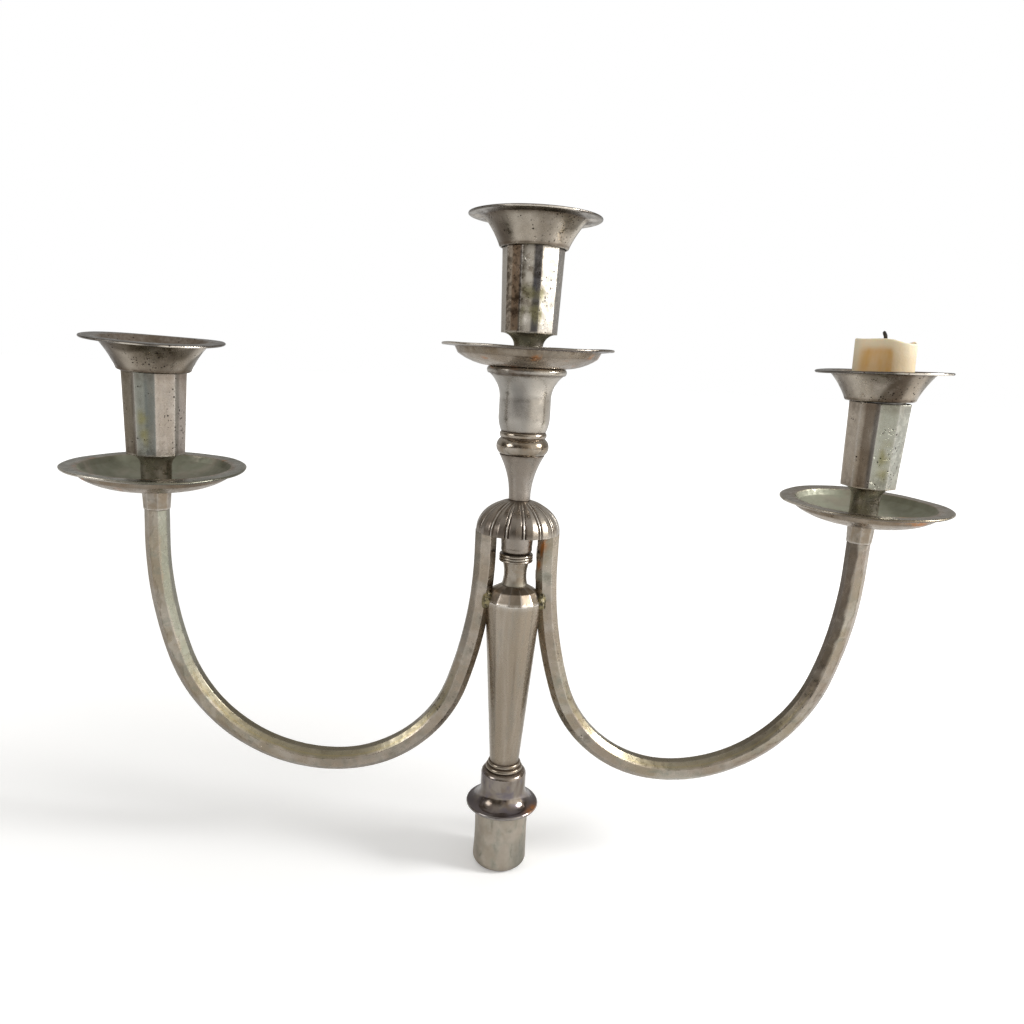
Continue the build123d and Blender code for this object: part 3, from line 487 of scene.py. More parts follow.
def silver_finish(tree, place, changes):
    """Silver plate worn and tarnished to a warm grey.

    The colour runs from pale to warm with a large noise, and goes cool and brown where a middling one is high.
    The piece's own fields lay on washes of colour, which hold tarnish and also painted reflections, highlights
    and shade, then a brown darkening that is partly tarnish in hollows and partly painted shade, bloom, copper,
    and bright edges that are partly rubbed plate and partly painted highlight. Pits are small and clustered,
    and flaked plate lies lower.
    """
    look = {**SILVER, **changes}
    drawn_out = tree.scaled(place, 1, 1, look["streak"])
    large = tree.cloud(drawn_out, look["patch"], 5.0, 0.6, 0.6)
    middle = tree.cloud(tree.scaled(drawn_out, 1.0, 1.3, 1.1), look["patch"] * 0.45, 6.0, 0.62, 0.4)
    fine = tree.cloud(place, 2.2, 6.0, 0.6)
    lean = 0.62 - 0.22 * look["warmth"]
    colour = tree.over(tree.span(large, lean - 0.12, lean + 0.1), look["pale"], look["warm"])
    cool_share = tree.times(tree.span(middle, 0.47, 0.66), look["cooling"] * 1.6)
    colour = tree.over(cool_share, colour, look["cool"])
    mottle = tree.span(middle, 0.26, 0.5, 0.72, 1.0)
    # The piece's wash, its own tarnish tones together with painted reflections, painted highlights and painted
    # shade, covers the base colour where the mottle lets it.
    colour = tree.over(tree.times(mottle, tree.field("cover")), colour, (0.0, 0.0, 0.0))
    colour = tree.over(mottle, colour, tree.field("wash", "Color"), "ADD")
    grime = tree.field("grime")
    stain = tree.span(middle, 0.66 - 0.25 * look["browning"], 0.80 - 0.12 * look["browning"])
    stain = tree.times(stain, 0.25 + 0.6 * look["browning"])
    # Brown where the darkening field is high: tarnish in grooves and joints, and painted shade inside dishes
    # and cups, under lips and rims, and on sides turned from the lamps.
    dirt_and_shade = tree.times(grime, tree.span(fine, 0.3, 0.62, 0.45, 1.0))
    stain = tree.most(stain, dirt_and_shade, clamp=True)
    # From here stain holds both the brown tarnish and that painted shade.
    colour = tree.over(stain, colour, look["brown"])
    rough = tree.span(fine, 0.3, 0.7, look["smooth"], look["dull"])
    rough = tree.plus(rough, tree.times(stain, 0.22))
    metal = tree.span(stain, 0.2, 1.0, 1.0, 0.55)
    if look["bloom"]:
        bloom = tree.times(tree.field("bloom"), tree.span(large, 0.3, 0.52, 0.35, 1.0))
        bloom = tree.times(bloom, look["bloom_share"])
        powder = tree.over(tree.span(middle, 0.35, 0.7), look["bloom"], tuple(c * 1.35 for c in look["bloom"]))
        colour = tree.over(bloom, colour, powder)
        rough = tree.plus(rough, tree.times(bloom, 0.4))
        metal = tree.times(metal, tree.span(bloom, 0.1, 0.9, 1.0, 0.35))
    rust = tree.times(tree.field("copper"), tree.span(fine, 0.36, 0.5))
    colour = tree.over(rust, colour, (0.42, 0.17, 0.05))
    # Pale edges: partly rubbed plate, partly painted highlight on corners, rims and ridges.
    edge = tree.times(tree.field("edge"), tree.span(fine, 0.3, 0.6, 0.3, 0.85))
    colour = tree.over(edge, colour, (0.86, 0.82, 0.76))
    scale = 1 / (look["pit_size"] * 2.1 * MM)
    cells = tree.node("TexVoronoi", {"Vector": place, "Scale": scale}, feature="F1").outputs
    clusters = tree.cloud(place, 5.5, 3.0, 0.6, 0.5)
    clusters = tree.plus(clusters, tree.times(tree.field("pitted"), 0.16))
    gate = tree.span(clusters, 0.70 - 0.30 * look["pits"], 0.82 - 0.26 * look["pits"])
    chosen = tree.node("SeparateColor", {0: cells["Color"]}).outputs[0]
    wide = tree.times(tree.minus(chosen, 0.35), 0.62)
    pit = tree.sums("LESS_THAN", cells["Distance"], tree.times(wide, gate))
    blotch = tree.cloud(place, 1.5, 3.0, 0.7, 1.5)
    blotch = tree.times(tree.span(blotch, 0.63, 0.68), tree.span(clusters, 0.60, 0.66 - 0.05 * look["pits"]))
    pit = tree.most(pit, tree.times(blotch, min(1.4 * look["pits"], 0.9)))
    colour = tree.over(tree.times(pit, 0.93), colour, (0.035, 0.026, 0.02))
    rough = tree.plus(rough, tree.times(pit, 0.35), clamp=True)
    relief = tree.times(tree.cloud(place, 9.0, 2.0, 0.5), look["wave"] * 8)
    relief = tree.plus(relief, tree.times(fine, 0.018))
    relief = tree.minus(relief, tree.times(pit, 0.10))
    relief = tree.minus(relief, tree.times(tree.field("flake"), 0.12))
    return {"Base Color": colour, "Roughness": rough, "Metallic": metal,
            "Normal": tree.relief(relief, 1.0, 1.0)}


def solder_finish(tree, place):
    """Soft solder: greenish brown in the hollows of a lumpy noise and brighter yellow-grey on its tops."""
    lumps = tree.cloud(place, 2.0, 5.0, 0.6, 0.8)
    fine = tree.cloud(place, 0.7, 4.0, 0.6)
    colour = tree.over(tree.span(lumps, 0.4, 0.6), (0.055, 0.045, 0.022), (0.36, 0.31, 0.17))
    colour = tree.over(tree.span(fine, 0.56, 0.66), colour, (0.62, 0.56, 0.40))
    return {"Base Color": colour, "Roughness": tree.span(fine, 0.3, 0.7, 0.3, 0.55),
            "Metallic": tree.span(lumps, 0.4, 0.6, 0.45, 0.9),
            "Normal": tree.relief(tree.plus(lumps, fine), 1.0, 0.4)}


def wax_finish(tree, place):
    """Candle wax: ivory with paler streaks, amber where the piece's amber field is high, and a soft gloss."""
    candle = bpy.context.scene.branch_candle
    soft = tree.cloud(tree.scaled(place, 1, 1, 0.35), 6.0, 4.0, 0.55)
    fine = tree.cloud(place, 1.1, 4.0, 0.6)
    amber = tree.times(tree.field("amber"), tree.span(soft, 0.25, 0.6, 0.6, 1.0))
    colour = tree.over(tree.span(soft, 0.35, 0.7), candle.ivory, tuple(min(c * 1.1, 1) for c in candle.ivory))
    colour = tree.over(amber, colour, candle.amber)
    colour = tree.over(tree.field("soot"), colour, (0.25, 0.19, 0.11))
    return {"Base Color": colour, "Roughness": tree.span(fine, 0.3, 0.7, 0.38, 0.55),
            "Normal": tree.relief(tree.plus(fine, soft), 0.5, 0.3), "Subsurface Weight": 0.35,
            "Subsurface Radius": (1.0, 0.62, 0.30), "Subsurface Scale": 3.0 * MM}


def char_finish(tree, place):
    """Burnt cotton: near black, greyer where a fine noise is high, with a fibrous relief."""
    fibres = tree.cloud(tree.scaled(place, 1, 1, 0.3), 0.3, 4.0, 0.6)
    colour = tree.over(tree.span(fibres, 0.4, 0.7), (0.012, 0.01, 0.009), (0.07, 0.06, 0.05))
    return {"Base Color": colour, "Roughness": tree.span(fibres, 0.3, 0.7, 0.75, 0.95),
            "Normal": tree.relief(fibres, 0.8, 0.1)}


MAKERS = {"soft solder": solder_finish, "candle wax": wax_finish, "burnt wick": char_finish}


def finished(name):
    """The named finish, made the first time it is asked for. Its maker gives the shader's inputs by name."""
    material = bpy.data.materials.get(name)
    if material is None:
        material = bpy.data.materials.new(name)
        tree = Tree(material)
        place = tree.node("TexCoord").outputs["Object"]
        shader = material.node_tree.nodes["Principled BSDF"]
        inputs = silver_finish(tree, place, LOOKS[name]) if name in LOOKS else MAKERS[name](tree, place)
        for key, value in inputs.items():
            tree.put(shader.inputs[key], value)
    return material


# ---------------------------------------------------------------- settings

def size(label, text, default, least=0.0):
    """A length setting in metres."""
    return FloatProperty(name=label, description=text, default=default, min=least, unit="LENGTH", precision=5)


def turn_of(label, text, default):
    """An angle setting."""
    return FloatProperty(name=label, description=text, default=np.radians(default), unit="ROTATION",
                         subtype="ANGLE")


def tint(label, text, default):
    """A colour setting."""
    return FloatVectorProperty(name=label, description=text, default=default, size=3, min=0, max=1,
                               subtype="COLOR")


class BranchStem(bpy.types.PropertyGroup):
    """Sizes of the stem's visible surfaces."""
    easing: size("Easing", "Window over which the turned pieces' corners are rounded", 0.0005)
    sides: IntProperty(name="Baluster sides", description="Flat sides of the baluster", default=14, min=6)
    lobes: IntProperty(name="Dome lobes", description="Lobes of the dome", default=15, min=5)
    lobe_turn: turn_of("Lobe turn", "From the front to the nearest line between two lobes", 5.0)
    lobe_depth: size("Lobe depth", "Depth of the lines between the lobes", 0.0006)


class BranchArms(bpy.types.PropertyGroup):
    """Sizes of the two bent arms, as in the CAD model."""
    flats: size("Across flats", "Thickness of the arm across its flats", 0.0084)
    root: size("Root", "From the stem's axis to the arm's at the dome", 0.0121)
    straight: size("Straight", "Straight length below the dome", 0.0101)
    shoulder_bend: size("Shoulder bend", "Radius of the first bend", 0.173)
    shoulder_turn: turn_of("Shoulder turn", "Turn of the first bend", 18.5)
    depth: size("Depth", "From the dome's edge down to the arm's lowest point", 0.0995)
    reach: size("Reach", "From the stem's axis to the arm's tip", 0.1361)
    rise_bend: size("Rising bend", "Radius of the last bend", 0.147)
    rise_turn: turn_of("Rising turn", "Turn of the last bend", 18.0)
    tip_rise: size("Tip rise", "From the dome's edge up to the arm's tip", 0.0019)
    forward: turn_of("Forward lean", "Both arms lean forward about the dome's edge", 1.8)
    left_inward: turn_of("Left inward lean", "The left light leans in", 1.0)
    right_inward: turn_of("Right inward lean", "The right light leans in", 0.25)
    uneven: size("Unevenness", "The left arm is this much higher, and the right one lower", 0.00075)


class BranchLights(bpy.types.PropertyGroup):
    """Sizes of the pans, cups and nozzles."""
    pan: size("Pan radius", "Radius of the drip pans", 0.03205)
    bottom: size("Cup bottom", "Height of the left and centre cups' feet over the pans' undersides", 0.0123)
    rim: size("Cup rim", "Height of the centre cup's rim over its pan's underside", 0.0432)
    right_higher: size("Right higher", "How much higher the right cup stands", 0.0018)
    right_longer: size("Right longer", "How much longer the right cup is", 0.0016)
    left_shorter: size("Left shorter", "How much shorter the left cup is", 0.0007)
    cup: size("Cup radius", "Corner radius of a cup at its rim", 0.0115)
    foot: size("Cup foot", "Corner radius of a cup at its foot", 0.01045)
    nozzle: size("Nozzle radius", "Radius of the nozzles' lips", 0.0245)
    left_lift: size("Left lift", "How high the left nozzle stands off its seat", 0.0008)
    centre_lift: size("Centre lift", "How high the centre nozzle stands off its seat", 0.00005)
    right_lift: size("Right lift", "How high the right nozzle stands off its seat", 0.0014)
    left_forward: turn_of("Left forward", "The left nozzle tips forward", 1.5)
    left_inward: turn_of("Left inward", "The left nozzle tips inward", 1.0)
    right_back: turn_of("Right back", "The right nozzle tips back", 1.4)
    right_inward: turn_of("Right inward", "The right nozzle tips inward", 1.6)


class BranchCandle(bpy.types.PropertyGroup):
    """Size and colours of the candle stub."""
    radius: size("Radius", "Radius of the candle", 0.01105)
    stand: size("Stand", "Height of the stub over the nozzle's lip", 0.012)
    ivory: tint("Ivory", "Colour of the wax", (0.80, 0.70, 0.50))
    amber: tint("Amber", "Colour of the wax where it is clear and deep", (0.72, 0.42, 0.13))


class BranchStage(bpy.types.PropertyGroup):
    """Camera, lamps and floor."""
    camera: FloatVectorProperty(name="Camera", description="Place of the camera", size=3, precision=4,
                                default=(-0.02263, -0.30318, 0.18115), subtype="TRANSLATION", unit="LENGTH")
    yaw: turn_of("Yaw", "Camera's turn to the right of straight back", 3.788)
    pitch: turn_of("Pitch", "Camera's tilt down", 10.955)
    roll: turn_of("Roll", "Camera's roll", 3.244)
    lens: FloatProperty(name="Lens", description="Focal length on a 36 mm sensor, in mm", default=28.25, min=5)
    key: FloatProperty(name="Key lamp", description="Power of the lamp on the right", default=8.0, unit="POWER")
    fill: FloatProperty(name="Fill lamp", description="Power of the lamp on the left", default=1.6,
                        unit="POWER")
    sky: FloatProperty(name="Sky", description="Strength of the even light from all round", default=0.5, min=0)


SETTINGS = {"branch_stem": BranchStem, "branch_arms": BranchArms, "branch_lights": BranchLights,
            "branch_candle": BranchCandle, "branch_stage": BranchStage}


# ---------------------------------------------------------------- stem pieces

def stem_piece(name, outline, window, finish, slot="stem_silver", made=None, step=1.2, turn=9.0, closed=False,
               **more):
    """Turned piece of the stem from an outline in mm whose heights count from the node's lowest point."""
    line = thinned(eased(outline, window, closed), step, turn, closed)
    turned((made or name) + "_surface", line, shifted(z=heights(name)[0]), "branch", slot, [name], finish,
           closed=closed, **more)


def tall(name):
    """Height of a CAD node in mm."""
    low, high = heights(name)
    return (high - low) / MM


def worn(size_mm, seed, depth):
    """Swell that leaves a turned piece slightly out of round: depth x (ripple - 1) / 2, never outwards."""
    return lambda at: (depth * (mottled(at, size_mm, seed) - 1) / 2, 0.0)


def grooved(levels, width):
    """Fields that darken the given heights of an outline, in mm, within a width of each."""
    return lambda at: {"grime": np.clip(0.9 * sum(peak(at.z, level, width) for level in levels), 0, 1)}


class BRANCH_OT_foot(bpy.types.Operator):
    """Spigot, flange with its collar, and the two beads under the baluster"""
    bl_idname = "branch.foot"
    bl_label = "Spigot and flange"

    def execute(self, context):
        window = context.scene.branch_stem.easing / MM
        spigot = drawn((0, 0), (7.6, 0), ((10.25, 1.1), (11.0, 3.4)), ((10.82, 12), (11.05, 22)), (11.1, 26),
                       (10.1, 27.2), (0, 27.2))
        stem_piece("spigot_plug", spigot, 0.6, "spigot metal", "spigot_metal", "spigot",
                   swell=worn(17.0, 3, 0.3), fields=self.scuffed)
        collar = drawn((0, 1.2), (10.8, 1.2), (11.8, 0), (13.95, 0), ((14.75, 0.8), (13.95, 1.6)),
                       ((10.31, 4.3), (9.2, 8.6)), (9.2, 13.2), ((8.79, 14.9), (7.8, 15.6)), (0, 15.6))
        stem_piece("flange_collar", collar, window, "collar silver", "flange_metal",
                   swell=worn(20.0, 5, 0.12), fields=self.stained_and_shaded)
        beads = drawn((0, 0), (7.0, 0), ((7.5, 0.9), (7.0, 1.8)), (6.2, 1.8), ((6.7, 2.7), (6.2, 3.6)),
                      (0, 3.6))
        stem_piece("stem_foot_ring", beads, window, "bead silver", "flange_metal",
                   fields=grooved((0.0, 1.8, 3.6), 0.25))
        return {"FINISHED"}

    def scuffed(self, at):
        """Upright streaks on the spigot, and a grey patina low on the right of its front."""
        streaks = 0.5 + 0.5 * np.sin(at.turn / 7.0 + np.sin(at.z / 4.0)) * np.sin(at.turn / 17.0 + 1.0)
        patina = peak(at.turn, -40, 26) * ramp(at.z, 17, -10)
        return {"grime": 0.5 * peak(at.z, 25.6, 1.1) + 0.35 * peak(at.z, 0, 2.0),
                "wash": washes((0.45 * streaks, BEIGE), (0.6 * patina, (0.17, 0.185, 0.165)))}

    def stained_and_shaded(self, at):
        """Brown and violet tarnish on the flange, darker on the left and back with painted shade, a coppery
        patch on the right of its edge, and a pale rim that is partly painted highlight.
        """
        spread = ramp(at.r, 10, 3)
        # shade: tarnish that grows outwards, with painted shade that deepens away from the right front.
        shade = 0.35 + 0.45 * spread - 0.25 * np.cos(np.radians(at.turn + 35))
        return {"wash": washes((shade, (0.115, 0.095, 0.085)), (0.5 * spread, (0.10, 0.088, 0.105))),
                "copper": peak(at.turn, -32, 16) * peak(at.r, 14, 1.2) * (at.z > 0.7),
                "edge": 0.35 * peak(at.r, 14.75, 0.35), "grime": 0.8 * peak(at.z, 15.6, 0.5)}


class BRANCH_OT_baluster(bpy.types.Operator):
    """Many-sided baluster with its flat shoulder"""
    bl_idname = "branch.baluster"
    bl_label = "Baluster"

    def execute(self, context):
        outline = drawn((0, 0), (5.95, 0, 0.25), (11.05, 66, 0.7), (11.3, 68.3, 1.0), (9.0, 72.4, 1.0),
                        (5.4, 74.4, 0.8), (0, 74.4))
        section = flat_section(context.scene.branch_stem.sides, 0.0, 0.10)

        def fields(at):
            above = ramp(at.z, 68.6, 0.6)
            cracks = peak(np.degrees(at.angle) % 51.4, 21, 1.6) * peak(at.z, 38, 11)
            # A pale line on the shoulder's rim and on its corners above: painted highlight, partly rubbed
            # plate. Darker on the shoulder's top, in the cracks and at the foot.
            edge = 0.9 * peak(at.z, 68.2, 0.45) + 0.5 * section[2] * above
            grime = 0.45 * above + 0.75 * cracks + 0.7 * peak(at.z, 0, 1.4)
            return {"grime": np.clip(grime, 0, 1), "edge": np.clip(edge, 0, 1)}
        stem_piece("baluster", outline, 0.55, "baluster silver", step=1.6, section=section,
                   swell=worn(30.0, 8, 0.12), fields=fields)
        return {"FINISHED"}


class BRANCH_OT_turnings(bpy.types.Operator):
    """Turned pieces between the baluster and the centre light"""
    bl_idname = "branch.turnings"
    bl_label = "Necks, cone, knop and socket"

    def execute(self, context):
        window = context.scene.branch_stem.easing / MM
        neck = drawn((0, 0), (5.1, 0), ((4.7, 1.9), (5.35, 9.5)), (0, 9.5))
        limed = lambda at: {"bloom": peak(at.z, 0, 2.2), "grime": 0.6 * peak(at.z, 0, 0.6)}
        stem_piece("lower_neck", neck, window, "neck silver", fields=limed, swell=worn(9.0, 2, 0.15))
        ring = drawn((0, 0), (6.25, 0), ((6.6, 0.525), (6.25, 1.05)), ((6.6, 1.575), (6.25, 2.1)),
                     ((6.6, 2.625), (6.25, 3.15)), (0, 3.15))
        stem_piece("neck_ring", ring, 0.16, "bead silver", step=0.5,
                   fields=grooved((0.0, 1.05, 2.1, 3.15), 0.16))
        top = tall("dome_column")
        column = drawn((0, 0), (4.9, 0), ((5.75, 0.75), (6.0, 2.6)), (6.5, 8.75), (6.5, top), (0, top))
        stem_piece("dome_column", column, window, "cone silver", fields=grooved((0.0,), 0.5))
        cone = drawn((0, 0), (4.2, 0), ((5.15, 8.75), (8.7, 17.5)), (0, 17.5))
        stem_piece("upper_cone", cone, window, "cone silver", fields=grooved((0.0, 17.5), 0.35),
                   swell=worn(11.0, 7, 0.1))
        knop = drawn((0, 0), (8.25, 0), ((9.95, 3.15), (8.25, 6.3)), ((8.95, 7.55), (8.25, 8.8)), (0, 8.8))
        stem_piece("knop", knop, window, "bead silver", fields=grooved((0.0, 6.3, 8.8), 0.3))
        self.socket(window)
        repainted("tube metal", "centre_peg", "dome_floor")
        repainted("screw steel", "tie_rod", "rod_washer", "rod_nut")
        return {"FINISHED"}

    def socket(self, window):
        """Urn socket, hollow down to 6.4 mm over its foot."""
        top = tall("urn_socket")
        outline = drawn((2.55, 0), (8.6, 0), ((9.4, 2.4), (9.8, 6.4)), (9.8, 11.6),
                        ((10.95, top - 6.3), (13.9, top - 2.5)), (14.4, top - 2.5),
                        ((15.0, top - 1.25), (14.4, top)), (8.43, top), (8.43, 6.4), (2.55, 6.4), (2.55, 0))

        def fields(at):
            # Painted shade under the rim and on its left, a dark painted reflection in a band on the front
            # left, and a painted highlight on the right front. The foot is darker where it meets the cone.
            under = peak(at.z, top - 2.6, 0.5)
            left = peak(at.turn, -120, 28) * (at.z > top - 3.2)
            grime = (0.8 * under + 0.7 * left) * (at.r > 12) + 0.8 * peak(at.z, 0, 0.4)
            dim = between(at.turn, -124, -96, 12.0) * between(at.z, 7.0, top - 6.0, 5.0)
            shine = between(at.turn, -84, -20, 15.0)
            return {"grime": np.clip(grime, 0, 1),
                    "wash": washes((0.5 * dim, (0.13, 0.12, 0.11)), (0.35 * shine, CREAM))}
        stem_piece("urn_socket", outline[:-1], window, "socket silver", closed=True, fields=fields,
                   swell=worn(16.0, 6, 0.12))


class BRANCH_OT_dome(bpy.types.Operator):
    """Lobed dome over the roots of the arms"""
    bl_idname = "branch.dome"
    bl_label = "Lobed dome"

    def execute(self, context):
        stem = context.scene.branch_stem
        t = np.linspace(0, 1, 60)
        up, down = np.arcsin(12.3 / 12.7) * t, np.arcsin(11.1 / 11.5) * (1 - t)
        outer = np.column_stack([16.4 * np.cos(up), 12.7 * np.sin(up), np.ones(60)])
        inner = np.column_stack([15.2 * np.cos(down), 11.5 * np.sin(down), np.zeros(60)])
        lobe, depth = 2 * np.pi / stem.lobes, stem.lobe_depth / MM
        t = np.linspace(-1, 1, 33)[:-1]
        off = np.sign(t) * np.abs(t) ** 1.7 * lobe / 2
        first = -np.pi / 2 + stem.lobe_turn
        angle = (first + np.arange(stem.lobes)[:, None] * lobe + off).ravel()
        from_line = np.abs(np.tile(off, stem.lobes))

        def swell(at):
            side, fade = from_line * at.r, at.share * ramp(at.r, 4.6, 4.0)
            groove, ridge = peak(side, 0.62, 0.24), peak(side, 0, 0.26)
            crown = (from_line / (lobe / 2)) ** 2
            return fade * (0.34 * crown - 0.34 - depth * groove - 0.05 * (1 - ridge)), 0.0

        def fields(at):
            side, fade = from_line * at.r, at.share * ramp(at.r, 4.6, 4.0)
            level = at.share * ramp(at.r, 9, 6)
            # left is painted shade on the dome's left, and right a painted highlight on its right front.
            left, right = ramp(at.turn, -62, -50) * level, peak(at.turn, -42, 24) * level
            # Darker in the grooves between the lobes and round the top, with painted shade on the underside.
            # The pale lobe ridges are painted highlight, partly rubbed plate.
            grime = 0.95 * fade * peak(side, 0.62, 0.27) + 0.6 * (1 - at.share)
            grime = grime + 0.8 * at.share * peak(at.r, 4.3, 0.9)
            wash = washes((0.5 * at.share, (0.27, 0.245, 0.22)), (0.5 * left, (0.14, 0.11, 0.09)),
                          (0.45 * right, CREAM))
            return {"grime": np.clip(grime, 0, 1), "edge": 0.8 * fade * peak(side, 0, 0.22), "wash": wash}
        section = (angle, np.ones_like(angle), np.zeros_like(angle))
        stem_piece("lobed_dome", np.vstack([outer, inner]), 0.4, "dome silver", "dome_silver", "dome",
                   step=0.8, turn=7.0, closed=True, section=section, swell=swell, fields=fields)
        return {"FINISHED"}


# ---------------------------------------------------------------- arms

# Dents at an arm's upper end: how far along in mm, from which side, length, width in degrees, and depth
ARM_DENTS = {"left_arm": ((22.0, 150, 2.0, 22, 0.35), (36.0, 150, 2.6, 20, 0.3)),
             "right_arm": ((4.5, 148, 3.0, 30, 0.7), (13.5, 150, 3.6, 30, 0.9), (21.5, 150, 3.2, 28, 0.7),
                           (33.0, 146, 2.6, 24, 0.6))}
# Coppery spots of the right arm: how far along, compass angle from inside the bow, length and width
COPPER_SPOTS = ((4.0, -118, 2.6, 16), (7.0, -128, 2.4, 10), (12.5, -140, 1.8, 12))
TENON = 12.0             # run of the arm's axis above the dome's lower edge, in mm


def arm_line(arms, side):
    """Points of the arm's axis in its own plane, in mm, X out and Z up.

    Straight run, arc, two arcs that meet at the lowest point, arc and straight run, each tangent to the next.
    """
    def arc(x, z, radius, rise, start, end):
        """Points (x + radius cos w, z + rise sin w) for w from the start to the end, without the first."""
        w = start + (end - start) * np.linspace(0, 1, 160)[1:]
        return np.column_stack([x + radius * np.cos(w), z + rise * np.sin(w)])

    first, last = arms.shoulder_turn, arms.rise_turn
    lean = arms.right_inward if side > 0 else arms.left_inward
    root, straight, depth = arms.root / MM, arms.straight / MM, arms.depth / MM
    big, rise, reach = arms.shoulder_bend / MM, arms.rise_bend / MM, arms.reach / MM
    dome = heights("lobed_dome")[0] / MM
    bend_at, lowest = dome - straight, dome - depth
    inner = (bend_at - big * np.sin(first) - lowest) / (1 - np.sin(first))
    low_x = root + big * (1 - np.cos(first)) + inner * np.cos(first)
    outer = (reach - low_x - rise * (1 - np.cos(last))) / np.cos(last)
    centre_z = lowest + outer * (1 - np.sin(last)) + rise * np.sin(last)
    points = [np.column_stack([np.full(60, root), np.linspace(dome + TENON, bend_at, 60)]),
              arc(root + big, bend_at, -big, -big, 0, first),
              arc(low_x, lowest + inner, -inner, -inner, first, np.pi / 2),
              arc(low_x, lowest + outer, outer, -outer, np.pi / 2, last),
              arc(reach - rise, centre_z, rise, rise, -last, lean)]
    end = points[-1][-1]
    run = (dome + arms.tip_rise / MM - end[1]) / np.cos(lean)
    points.append(end + np.linspace(0, run, 30)[1:, None] * np.array([-np.sin(lean), np.cos(lean)]))
    return np.vstack(points)


def arm_side(arms, side):
    """Place of an arm's own plane: side is 1 for the right arm and -1 for the left."""
    dome = heights("lobed_dome")[0]
    lean = shifted(z=dome) @ turned_about("X", np.degrees(arms.forward)) @ shifted(z=-dome)
    return lean @ shifted(z=-side * arms.uneven) @ turned_about("Z", 0 if side > 0 else 180)


